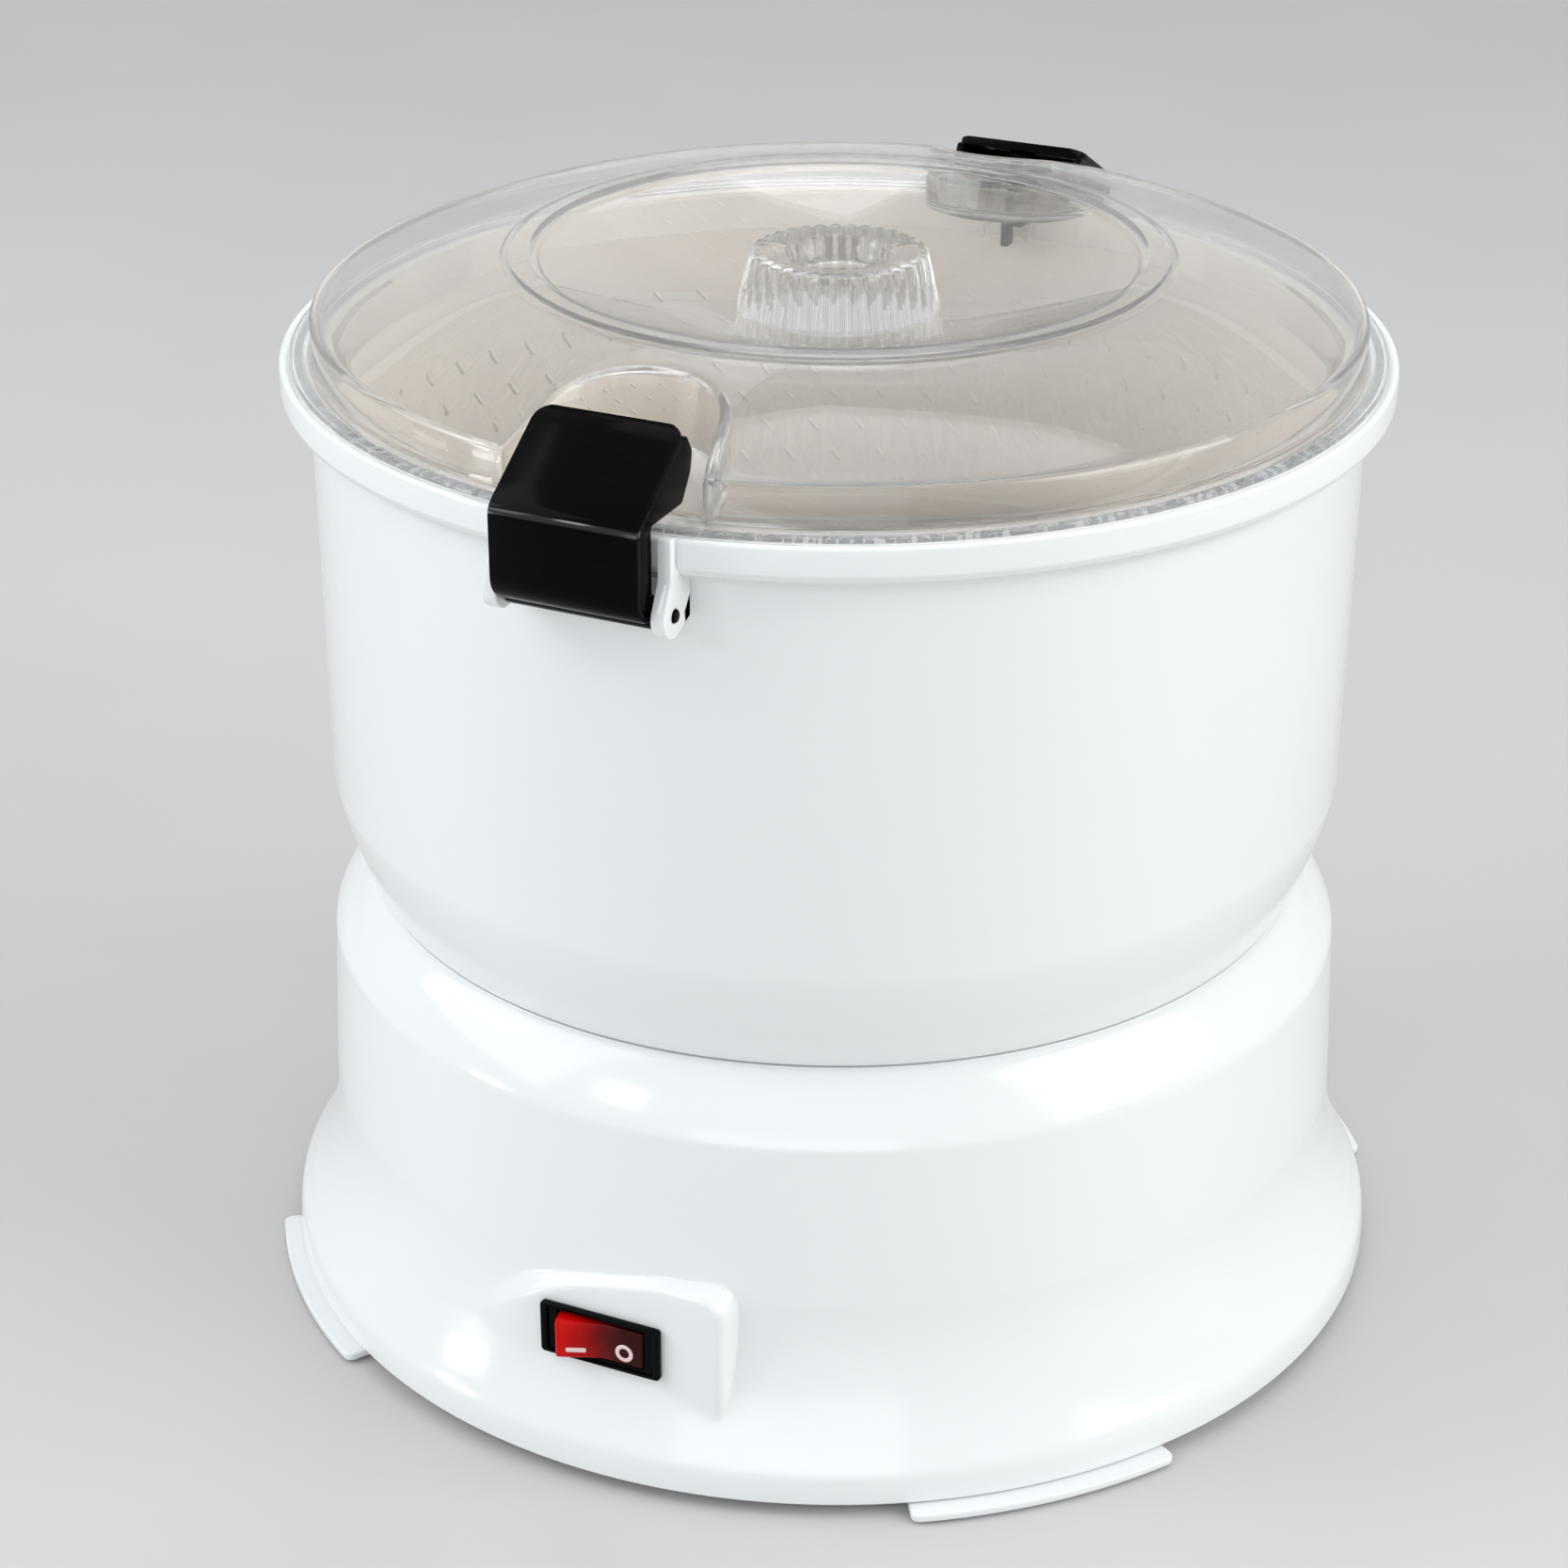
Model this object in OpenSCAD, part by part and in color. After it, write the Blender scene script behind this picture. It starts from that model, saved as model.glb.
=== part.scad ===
// Electric potato peeler: a motor base, a lift-off bowl with a liner and a driven disc,
// and a clear lid held down by two latches. Millimetres, +Z up, the switch faces -Y.
// The origin is on the drive axis, at the level that the feet stand on.

/* [Base shell] */
// Radius of the upright base wall
base_r = 128.7; // [120:0.1:136]
// How far the skirt's bottom edge flares out from the base wall
skirt_flare = 12; // [10:0.2:15]
// Height of the skirt's bottom edge above the table
skirt_lift = 3; // [2.8:0.1:4.5]
// Height at which the flare has faded into the base wall
skirt_top_z = 50; // [44:1:56]
// Height at which the base wall starts to round in
shoulder_z = 91; // [84:1:94]
// How far the base wall leans in between the flare and the shoulder
base_draft = 1.7; // [0.4:0.1:2.6]
// How far the waist between base and bowl stands in from the base wall
seam_in = 12.7; // [10:0.1:14]
// Height of the waist
seam_z = 106.6; // [104:0.2:112]
// Depth of the well in the top of the base that takes the bowl's foot ring
well_depth = 6.6; // [5:0.2:9]
// Wall of the moulded shells
wall = 2.4; // [2:0.1:3]
// Thickness of the base's top deck
deck_t = 2.6; // [2:0.1:3.5]
// Height of the shaft boss above the deck
boss_h = 17; // [15:0.5:20]
// Wall round the bush in the shaft boss
boss_wall = 3.4; // [2.5:0.1:4]

/* [Base plate and feet] */
// Thickness of the base plate
plate_t = 2; // [1.6:0.1:3]
// How far the four foot tabs stand out from the skirt
tab_out = 4.5; // [3.6:0.1:6]
// Sweep of each foot tab in degrees
tab_sweep = 27; // [20:1:34]
// How far the rubber feet stand below the plate
foot_proud = 0.8; // [0.5:0.1:1.2]
// Distance of the base plate's screw pillars in from the base wall
pillar_in = 24.7; // [22:0.1:28]
// Radius of a screw pillar
pillar_r = 5; // [4:0.5:6]

/* [Switch] */
// Distance of the switch panel outside the base wall
panel_proud = 3; // [2.6:0.1:4]
// Half width of the switch panel
panel_half_w = 30.5; // [28:0.5:34]
// Height of the top of the switch panel
panel_top_z = 53; // [50:0.5:58]
// Height of the middle of the switch
switch_z = 35.6; // [34:0.2:37]
// Width of the switch bezel
bezel_w = 32; // [30:0.2:35]
// Height of the switch bezel
bezel_h = 14.4; // [14:0.2:16]
// Length of the rocker
rocker_l = 22; // [18:0.5:24]
// Height of the rocker
rocker_h = 9.8; // [8.4:0.2:10.2]
// Tilt of the rocker each side of its middle, in degrees
rocker_tilt = 11; // [8:0.5:12]

/* [Bowl] */
// How far the bowl wall stands in from the base wall
bowl_in = 2.8; // [1:0.1:6]
// Height at which the bowl's rounded foot runs into its wall
bowl_round_z = 134.4; // [130:0.2:142]
// How far the bowl wall leans in towards its rounded foot
bowl_draft = 0.6; // [0.2:0.1:1.4]
// Height of the ledge that the lid sits on
rim_z = 240; // [225:1:255]
// How far the bowl's flange stands out from its wall
flange_out = 7.6; // [6.6:0.2:9]
// Height of the bowl's floor above the waist
floor_rise = 5.4; // [4:0.2:7]
// Width of the bowl's foot ring
ring_w = 3; // [2.4:0.1:4]
// Thickness of the peeling liner
liner_t = 1.8; // [1.4:0.1:2.4]
// Rows of teeth on the liner
tooth_rows = 4; // [2:1:5]
// Teeth in one row
teeth_per_row = 18; // [8:1:24]

/* [Peeling disc] */
// Play between the peeling disc and the liner
disc_play = 3.6; // [3:0.2:8]
// Height of the disc above the bowl's floor
disc_rise = 14.4; // [12:0.2:17]
// Thickness of the disc
disc_t = 3; // [2.4:0.1:4]
// Radius of the round bars that make the humps
hump_r = 14; // [11:0.5:17]
// Number of humps
humps = 3; // [2:1:4]
// Height of a hump above the disc
hump_h = 6; // [4:0.5:8]
// Radius of the cap on the middle of the disc
cap_r = 15; // [12:0.5:18]

/* [Lid] */
// Thickness of the clear lid
lid_t = 2.2; // [1.8:0.1:2.6]
// Play between the lid's flange and the bowl's lip
lid_play = 0.9; // [0.6:0.1:1.4]
// Width of the lid's flange outside its upright wall
lid_ledge = 5.1; // [4.2:0.1:5.8]
// Height of the crest of the lid above the rim
crest_h = 23; // [20:0.5:27]
// Distance of the crest's inner edge in from the lid's wall
crest_in = 53.2; // [50:0.2:58]
// Depth of the dished centre below the crest
dish_depth = 16.2; // [12:0.5:17]
// Height of the lid's upright wall above the rim
lid_wall_h = 10.5; // [9:0.5:13.5]
// Depth of the lid's skirt inside the bowl
lid_skirt_h = 11; // [9:0.5:12]
// Radius of the round end of a latch pocket
pocket_r = 19.5; // [19:0.5:22]
// Distance of a pocket's round end in from the lid's wall
pocket_in = 14.7; // [13:0.1:18]
// Number of flutes round the knob
knob_flutes = 28; // [20:1:32]
// Radius of the knob at its foot
knob_foot_r = 24.2; // [22:0.2:26]
// Radius of the knob at its top
knob_top_r = 20.8; // [19:0.2:22]

/* [Latches] */
// Half width of a latch
latch_half_w = 17.5; // [15:0.5:18.5]
// Thickness of the latch plate
latch_t = 2.2; // [1.8:0.1:2.6]
// Distance of the hinge pin outside the bowl wall
pin_out = 6.2; // [6:0.1:7]
// Distance of the hinge pin below the rim
pin_drop = 16.5; // [15:0.5:19]
// Gap between the flange and the latch's front plate
latch_stand = 5.4; // [4.6:0.2:7]
// Length of the latch's sloping top, measured level
latch_reach = 23.8; // [22:0.2:25]
// Rise of the latch's sloping top
latch_rise = 15.2; // [13:0.2:17]
// Radius of the hinge pins
pin_r = 1.5; // [1.2:0.1:1.8]
// Thickness of a bracket's ears
ear_t = 3.4; // [2.4:0.1:4]

/* [Drive] */
// Radius of the drive shaft
shaft_r = 5; // [4.6:0.1:5.4]
// Length of the shaft's hexagonal end
hex_l = 11.6; // [10:0.2:13]
// Teeth of the output gear and of the large idler gear
gear_teeth = 60; // [60:4:64]
// Teeth of the motor pinion and of the small idler gear
pinion_teeth = 15; // [15:1:17]
// Module of the first gear pair
module_1 = 0.8; // [0.75:0.05:0.85]
// Module of the second gear pair
module_2 = 1.2; // [1.1:0.05:1.25]
// Face width of the first gear pair
face_1 = 7; // [6:0.5:8]
// Face width of the second gear pair
face_2 = 8; // [7:0.5:9]
// Wall of the gearbox case
case_wall = 3; // [2.4:0.2:3.4]

/* [Motor] */
// Distance of the motor's axis from the drive axis
motor_x = 58; // [55:0.5:62]
// Half width of the stator along X
stator_half_x = 25; // [25:0.5:27]
// Half width of the stator along Y
stator_half_y = 32; // [32:0.5:34]
// Height of the stator's stack
stack_h = 24; // [20:1:25]
// Radius of the armature
armature_r = 19.2; // [17:0.2:19.4]
// Radius of the motor shaft
motor_shaft_r = 3; // [2.6:0.1:3.2]
// Slots in the armature
armature_slots = 12; // [8:2:14]
// Radius of the commutator
commutator_r = 11; // [9:0.5:12]
// Blades on the cooling fan
fan_blades = 9; // [7:1:12]
// Radius of the cooling fan
fan_r = 21; // [18:0.5:23]

/* [Clearances] */
// Radial clearance of a shaft in its hole
run_fit = 0.03; // [0.02:0.01:0.08]
// Gap between pieces that are fixed together
seat = 0.2; // [0.15:0.05:0.3]
// Gap between pieces that move past each other
gap = 0.4; // [0.3:0.05:0.6]

/* [Hidden] */
$fn = 72;
arc_n = 10;
tiny = 0.01;
white = [0.93, 0.94, 0.96];
black = [0.05, 0.05, 0.06];
steel = [0.75, 0.76, 0.78];
copper = [0.72, 0.42, 0.22];
brass = [0.80, 0.65, 0.30];
nylon = [0.86, 0.85, 0.80];
clear = [0.85, 0.90, 0.92, 0.35];

// Base sizes
skirt_r = base_r + skirt_flare;
seam_r = base_r - seam_in;
pillar_ring = base_r - pillar_in;
tab_r = skirt_r + tab_out;
skirt_lip = 0.4;
knee_z = skirt_lift + 8;
deck_z = seam_z - well_depth;
deck_under = deck_z - deck_t;
well_r = seam_r - 5.4;
boss_top = deck_z + boss_h;
bush_r = shaft_r + 3.5;
boss_r = bush_r + boss_wall;
seal_r = bush_r + 0.5;
seal_h = 3.4;
rim_gap = 0.6;
flare_bend = 2.2;
round_bend = 1.2;

// Gearbox heights, from the deck down
case_top = deck_under - seat;
roof_under = case_top - case_wall;
end_gap = 1.2;
out_top = roof_under - end_gap;
out_bottom = out_top - face_2;
idler_top = out_bottom - 3;
idler_bottom = idler_top - face_1;
cover_top = idler_bottom - end_gap;
cover_bottom = cover_top - case_wall;
lug_top = case_top - 6;
lug_r = 5;
lower_hub_top = cover_top + 5.4;

// Gear pairs
pressure = 20;
addendum = 0.85;
backlash = 0.15;
r_pinion_1 = module_1 * pinion_teeth / 2;
r_gear_1 = module_1 * gear_teeth / 2;
r_pinion_2 = module_2 * pinion_teeth / 2;
r_gear_2 = module_2 * gear_teeth / 2;
centre_1 = r_pinion_1 + r_gear_1;
centre_2 = r_pinion_2 + r_gear_2;
idler_x = -(centre_2 * centre_2 - centre_1 * centre_1 + motor_x * motor_x) / (2 * motor_x);
idler_y = sqrt(centre_2 * centre_2 - idler_x * idler_x);
// A tooth of the second gear lies half a pitch from the first gear's at the pitch point
function mesh_phase(n_a, phase_a, n_b, line) =
    line + 180 - 180 / n_b + (line - phase_a) * n_a / n_b;
idler_line = atan2(idler_y, idler_x);
small_phase = mesh_phase(gear_teeth, 0, pinion_teeth, idler_line);
motor_line = atan2(-idler_y, -motor_x - idler_x);
pinion_phase = mesh_phase(gear_teeth, 0, pinion_teeth, motor_line);

// Gearbox outline: one lobe for each shaft
lobes = [[0, 0, r_gear_2 + 6.5], [idler_x, idler_y, r_gear_1 + 6], [-motor_x, 0, 18]];
lug_reach = lug_r - 0.8;
lugs = [
    [(lobes[0][2] + lug_reach) * cos(60), (lobes[0][2] + lug_reach) * sin(60)],
    [(lobes[0][2] + lug_reach) * cos(-20), (lobes[0][2] + lug_reach) * sin(-20)],
    [(lobes[0][2] + lug_reach) * cos(-105), (lobes[0][2] + lug_reach) * sin(-105)],
    [idler_x + (lobes[1][2] + lug_reach) * cos(100), idler_y + (lobes[1][2] + lug_reach) * sin(100)]];
screw_r = 1.5;
screw_head_r = 3;
screw_head_h = 2;

// Motor heights, from the gearbox down
bracket_t = 3.4;
top_bracket_top = cover_bottom - seat;
top_bracket_bottom = top_bracket_top - bracket_t;
winding_h = 4.6;
top_room = 9;
brush_room = 17;
stator_top = top_bracket_bottom - top_room;
stator_bottom = stator_top - stack_h;
low_bracket_top = stator_bottom - brush_room;
low_bracket_bottom = low_bracket_top - bracket_t;
fan_top = low_bracket_bottom - 2.2;
fan_h = 5;
bearing_r = motor_shaft_r + 3;
bearing_h = 7;
bolt_r = 1.9;
bolt_x = stator_half_x - 4;
bolt_y = stator_half_y - 4.5;
air_gap = 0.4;
pole_half = 10;
slot_w = 7;
slot_y = armature_r + 3.2;
slot_d = 5.1;
commutator_h = 8;
commutator_bottom = low_bracket_top + 2.6;
brush_s = 5;
window_in = bearing_r + 5;
bracket_rib = 3;
window_end = 9.5;
brush_z = commutator_bottom + commutator_h / 2;

// Base plate and feet
plate_top = skirt_lift - seat;
plate_bottom = plate_top - plate_t;
plate_r = skirt_r - wall - 1.5;
tab_in_r = plate_r - 2;
foot_in_r = tab_in_r - 8;
foot_out_r = tab_r - 2;
foot_inset = 3;
foot_slack = 0.4;
plate_screw_l = 13;
vent_out = pillar_ring - 20;
vent_in = vent_out - 28;
vent_half = 1.6;

// Switch panel
panel_u = base_r + panel_proud;
panel_low_z = knee_z + 1;
panel_corner = 5;
bezel_proud = 2;
bezel_u = panel_u + bezel_proud;
switch_half_h = bezel_h / 2 - 0.9;
switch_half_w = bezel_w / 2 - 2.3;
switch_l = 18;
well_half_h = rocker_h / 2 + gap;
well_half_l = rocker_l / 2 + gap;
pivot_in = 2.7;
recess_d = 1;
pivot_u = bezel_u - pivot_in;
rocker_back = 2;
rocker_front = 2.2;
pivot_pin_r = 1;
gland_z = 24;
gland_r = 5;
gland_out = 9;
gland_deep = 8;
gland_u = base_r + gland_out;

// Bowl
bowl_r = base_r - bowl_in;
flange_r = bowl_r + flange_out;
bowl_low_z = seam_z + rim_gap;
floor_under = seam_z + floor_rise;
floor_top = floor_under + wall;
ring_r = well_r - 0.6;
ring_low_z = deck_z + 0.3;
chimney_in = boss_r + 0.7;
chimney_out = chimney_in + wall;
chimney_top = boss_top + 7;
key_w = 8;
key_h = 4;
flange_h = 6;
lip_h = 1.8;
lip_in_r = flange_r - wall;
rebate_r = bowl_r - seat * 2;
rebate_h = 2;
liner_out = bowl_r - bowl_draft - wall - gap;
liner_in = liner_out - liner_t;
disc_z = floor_top + disc_rise;
liner_low_z = bowl_round_z;
liner_lip = 1.5;
tooth_l = 13;
tooth_h = 1.4;
tooth_slant = 35;
tooth_low = 16;
tooth_high = 14;

// Disc
disc_r = liner_in - disc_play;
disc_top = disc_z + disc_t;
hub_low_z = boss_top + 2.6;
hex_r = shaft_r - 0.1;
hex_top = hub_low_z - gap + hex_l;
hub_core_r = shaft_r + 3.4;
hub_skirt_in = chimney_out + 0.9;
pad_t = 1;
hump_in = cap_r + 3;
hump_sink = hump_r - hump_h;
cap_h = 8;

// Lid
lid_flange_r = lip_in_r - lid_play;
lid_wall_r = lid_flange_r - lid_ledge;
crest_r = lid_wall_r - crest_in;
pocket_ring = lid_wall_r - pocket_in;
lid_low_z = rim_z + 0.4;
lid_floor_z = lid_low_z + 2;
crest_z = rim_z + crest_h;
dish_z = crest_z - dish_depth;
lid_edge_z = rim_z + lid_wall_h;
crest_w = 7.6;
crest_proud = 0.9;
dome_in_r = crest_r + crest_w;
skirt_out = liner_in - 0.5;
skirt_in = skirt_out - 1.8;
gasket_mid = (lip_in_r + rebate_r) / 2 - 0.4;
gasket_w = 2.4;
knob_foot_z = dish_z - 0.8;
knob_top_z = crest_z - 1;
flute_r = 1.5;
key_x = -1.8;

// Latches, drawn at the rear and turned round for the front
pin_u = bowl_r + pin_out;
pin_z = rim_z - pin_drop;
barrel_r = pin_r + 2.1;
latch_in_u = flange_r + latch_stand;
latch_out_u = latch_in_u + latch_t;
fold_z = rim_z + 4.6;
tip_u = latch_out_u - latch_reach;
tip_z = fold_z + latch_rise;
slope_drop = latch_t / cos(atan2(latch_rise, latch_reach));
curl_r = 6.7;
curl_u = latch_out_u - curl_r;
curl_z = pin_z + 5.5;
cheek_t = 2;
nose_low = 10;
cheek_low_z = rim_z + 3.5;
cheek_in_u = flange_r + 0.7;
nose_out = 3;
hook_half_w = 3;
ear_in = latch_half_w + 2 * gap;
ear_out = ear_in + ear_t;
ear_lobe = pin_r + 3.6;
ear_lip = 1.4;
pin_end = 0.5;

// Profiles: [radius, height] pairs
function skirt_at(z) = base_r
    + (skirt_r - skirt_lip - base_r) * pow((skirt_top_z - z) / (skirt_top_z - knee_z), flare_bend);
// A rounded corner that falls from 1 to 0 as t runs from 0 to 1
function rounding(t) = pow(1 - pow(min(1, max(0, t)), round_bend), 1 / round_bend);
function shoulder_at(z) = seam_r
    + (base_r - base_draft - seam_r) * rounding((z - shoulder_z) / (seam_z - shoulder_z));
function bowl_at(z) = seam_r
    + (bowl_r - bowl_draft - seam_r) * rounding((bowl_round_z - z) / (bowl_round_z - bowl_low_z));
function base_side(inset, z_end) = concat(
    [[skirt_r - inset, skirt_lift]],
    [for (i = [0 : arc_n]) let (z = knee_z + (skirt_top_z - knee_z) * i / arc_n) [skirt_at(z) - inset, z]],
    [for (i = [0 : arc_n]) let (z = shoulder_z + (z_end - shoulder_z) * i / arc_n)
        [shoulder_at(z) - inset, z]]);
function bowl_side(inset, z_start) = [for (i = [0 : arc_n])
    let (z = z_start + (bowl_round_z - z_start) * i / arc_n) [bowl_at(z) - inset, z]];
function turned(points) = [for (i = [len(points) - 1 : -1 : 0]) points[i]];
function dish_at(r) = dish_z + (crest_z - crest_proud - dish_z) * pow(r / crest_r, 2);
function dome_at(r) = crest_z - crest_proud
    - (crest_z - crest_proud - lid_edge_z - 1) * pow((r - dome_in_r) / (lid_wall_r - 1 - dome_in_r), 2);

module tube(r_in, r_out, z1, z2) {
    translate([0, 0, z1]) difference() {
        cylinder(r = r_out, h = z2 - z1);
        translate([0, 0, -1]) cylinder(r = r_in, h = z2 - z1 + 2);
    }
}

module rod(r, z1, z2) {
    translate([0, 0, z1]) cylinder(r = r, h = z2 - z1);
}

module block(x1, x2, y1, y2, z1, z2) {
    translate([x1, y1, z1]) cube([x2 - x1, y2 - y1, z2 - z1]);
}

// A ring sector centred on the +X direction
module sector(r_in, r_out, z1, z2, sweep) {
    rotate([0, 0, -sweep / 2]) rotate_extrude(angle = sweep)
        polygon([[r_in, z1], [r_out, z1], [r_out, z2], [r_in, z2]]);
}

// A plate that runs along X, from points [distance towards +Y, height]
module along_x(points, x1, x2) {
    translate([x1, 0, 0]) rotate([90, 0, 90]) linear_extrude(height = x2 - x1) polygon(points);
}

module rod_x(r, u, z, x1, x2) {
    translate([x1, u, z]) rotate([0, 90, 0]) cylinder(r = r, h = x2 - x1);
}

module rod_y(r, x, z, y1, y2) {
    translate([x, y1, z]) rotate([-90, 0, 0]) cylinder(r = r, h = y2 - y1);
}

module quarter_turns() {
    for (k = [0 : 3]) rotate([0, 0, 45 + 90 * k]) children();
}

module at_motor() {
    translate([-motor_x, 0, 0]) children();
}

module at_idler() {
    translate([idler_x, idler_y, 0]) children();
}

module four_bolts() {
    for (sx = [-1, 1]) for (sy = [-1, 1]) translate([sx * bolt_x, sy * bolt_y, 0]) children();
}

// Involute gear
function involute(a) = tan(a) * 180 / PI - a;
function tooth_half(n, m, r) = let (r_pitch = m * n / 2, r_base = r_pitch * cos(pressure))
    90 / n - backlash / 2 / r_pitch * 180 / PI + involute(pressure) - involute(acos(min(1, r_base / r)));
function gear_points(n, m) = let (r_pitch = m * n / 2, r_base = r_pitch * cos(pressure),
        r_root = r_pitch - 1.15 * m, r_tip = r_pitch + addendum * m, r_low = max(r_base, r_root + 0.05 * m))
    [for (k = [0 : n - 1]) for (p = [[r_root, -tooth_half(n, m, r_low)], [r_low, -tooth_half(n, m, r_low)],
            [r_pitch, -tooth_half(n, m, r_pitch)], [r_tip, -tooth_half(n, m, r_tip)],
            [r_tip, tooth_half(n, m, r_tip)], [r_pitch, tooth_half(n, m, r_pitch)],
            [r_low, tooth_half(n, m, r_low)], [r_root, tooth_half(n, m, r_low)]])
        let (a = 360 * k / n + p[1]) [p[0] * cos(a), p[0] * sin(a)]];

module gear(n, m, z1, z2) {
    translate([0, 0, z1]) linear_extrude(height = z2 - z1) polygon(gear_points(n, m));
}

// Base

module panel_block(inset, u, z1, z2) {
    half_w = panel_half_w - inset;
    corner = panel_corner - inset;
    block(-half_w, half_w, -u, -(base_r - 7), z1, z2 - corner);
    block(-half_w + corner, half_w - corner, -u, -(base_r - 7), z2 - corner - tiny, z2);
    for (s = [-1, 1]) rod_y(corner, s * (half_w - corner), z2 - corner, -u, -(base_r - 7));
}

module base_shell() {
    rotate_extrude() polygon(concat(
        base_side(0, seam_z),
        [[well_r, seam_z], [well_r, deck_z], [boss_r, deck_z], [boss_r, boss_top],
            [seal_r + run_fit, boss_top], [seal_r + run_fit, boss_top - seal_h - seat],
            [bush_r + run_fit, boss_top - seal_h - seat], [bush_r + run_fit, deck_under]],
        turned(base_side(wall, deck_under))));
}

module base_housing() {
    color(white) difference() {
        union() {
            base_shell();
            panel_block(0, panel_u, panel_low_z, panel_top_z);
            rod_y(gland_r + 4, 0, gland_z, base_r - 6, gland_u);
            quarter_turns() translate([pillar_ring, 0, 0]) rod(pillar_r, skirt_lift, deck_under + 1);
            for (p = lugs) translate([p[0], p[1], 0]) rod(lug_reach - gap, lug_top + seat, deck_under + 1);
            for (k = [0 : 2]) rotate([0, 0, 120 * k + 60])
                block(ring_r - ring_w - 0.6, well_r + 1, -key_w / 2, key_w / 2, deck_z - 1, deck_z + key_h);
        }
        panel_block(wall, panel_u - wall, panel_low_z + wall, panel_top_z - wall);
        block(-switch_half_w - seat, switch_half_w + seat, -panel_u - 1, -base_r + 8,
            switch_z - switch_half_h - seat, switch_z + switch_half_h + seat);
        // The flare is cut flat where the bezel sits
        block(-bezel_w / 2 - seat, bezel_w / 2 + seat, -panel_u - 6, -panel_u,
            switch_z - bezel_h / 2 - seat, switch_z + bezel_h / 2 + seat);
        rod_y(gland_r + run_fit, 0, gland_z, base_r - gland_deep - 2, gland_u + 1);
        quarter_turns() translate([pillar_ring, 0, 0]) rod(screw_r + 0.1, skirt_lift - 1,
            skirt_lift + plate_screw_l + 3);
        for (p = lugs) translate([p[0], p[1], 0]) rod(screw_r + 0.1, lug_top - 1, deck_z - 1);
    }
}

module base_plate() {
    color(white) difference() {
        union() {
            rod(plate_r, plate_bottom, plate_top);
            tube(plate_r - wall * 2, plate_r - wall, plate_top - tiny, plate_top + 4);
            quarter_turns() sector(tab_in_r, tab_r, plate_bottom, plate_top, tab_sweep);
        }
        quarter_turns() sector(foot_in_r, foot_out_r, plate_bottom - 1, plate_bottom + 1,
            tab_sweep - foot_inset);
        quarter_turns() translate([pillar_ring, 0, 0]) rod(screw_r + 0.2, 0, plate_top + 1);
        at_motor() for (k = [0 : 11]) rotate([0, 0, 30 * k])
            block(8, fan_r, -1.4, 1.4, plate_bottom - 1, plate_top + 1);
        for (k = [0 : 8]) rotate([0, 0, -40 + 10 * k])
            block(vent_in, vent_out, -vent_half, vent_half, plate_bottom - 1, plate_top + 1);
    }
}

module rubber_feet() {
    color(black) quarter_turns() sector(foot_in_r + seat, foot_out_r - seat,
        plate_bottom - foot_proud, plate_bottom + 1, tab_sweep - foot_inset - foot_slack);
}

module plate_screws() {
    color(steel) quarter_turns() translate([pillar_ring, 0, 0]) {
        rod(screw_r, plate_bottom - tiny, skirt_lift + plate_screw_l);
        rod(screw_head_r, plate_bottom - 0.7, plate_bottom);
    }
}

module gearbox_case() {
    color(nylon) difference() {
        union() {
            for (l = lobes) translate([l[0], l[1], 0]) rod(l[2], cover_top, case_top);
            for (p = lugs) translate([p[0], p[1], 0]) rod(lug_r, cover_top, lug_top);
        }
        for (l = lobes) translate([l[0], l[1], 0]) rod(l[2] - case_wall, cover_top - 1, roof_under);
        rod(bush_r + 1.5, roof_under - 1, case_top + 1);
        at_idler() rod(3 + run_fit, roof_under - 1, case_top - 0.8);
        for (p = lugs) translate([p[0], p[1], 0]) rod(screw_r + 0.2, cover_top - 1, lug_top + 1);
    }
}

module gearbox_cover() {
    color(nylon) difference() {
        union() {
            for (l = lobes) translate([l[0], l[1], 0]) rod(l[2], cover_bottom, cover_top - tiny);
            for (p = lugs) translate([p[0], p[1], 0]) rod(lug_r, cover_bottom, cover_top - tiny);
            rod(bush_r + 3, cover_bottom, lower_hub_top);
        }
        rod(bush_r + run_fit, cover_bottom - 1, lower_hub_top + 1);
        at_idler() rod(3 + run_fit, cover_bottom + 0.8, cover_top + 1);
        at_motor() rod(r_pinion_1 + module_1 + 0.8, cover_bottom - 1, cover_top + 1);
        for (p = lugs) translate([p[0], p[1], 0]) rod(screw_r + 0.2, cover_bottom - 1, cover_top + 1);
    }
}

module gearbox_screws() {
    color(steel) for (p = lugs) translate([p[0], p[1], 0]) {
        rod(screw_r, cover_bottom - tiny, deck_z - 2);
        rod(screw_head_r, cover_bottom - screw_head_h, cover_bottom);
    }
}

module idler_axle() {
    color(steel) at_idler() rod(3, cover_bottom + 1, case_top - 1);
}

module upper_bush() {
    color(brass) tube(shaft_r + run_fit, bush_r, roof_under + 1, boss_top - seal_h - 0.6);
}

module lower_bush() {
    color(brass) tube(shaft_r + run_fit, bush_r, cover_bottom, lower_hub_top);
}

module shaft_seal() {
    color(black) tube(shaft_r + 0.3, seal_r, boss_top - seal_h, boss_top - 0.2);
}

module motor_stator() {
    color(steel) at_motor() difference() {
        block(-stator_half_x, stator_half_x, -stator_half_y, stator_half_y, stator_bottom, stator_top);
        rod(armature_r + air_gap, stator_bottom - 1, stator_top + 1);
        for (sx = [-1, 1]) for (sy = [-1, 1]) translate([sx * (pole_half + slot_w / 2),
                sy * (slot_y + slot_d / 2), (stator_bottom + stator_top) / 2])
            cube([slot_w, slot_d, stack_h + 2], center = true);
        four_bolts() rod(bolt_r + 0.2, stator_bottom - 1, stator_top + 1);
    }
}

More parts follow.
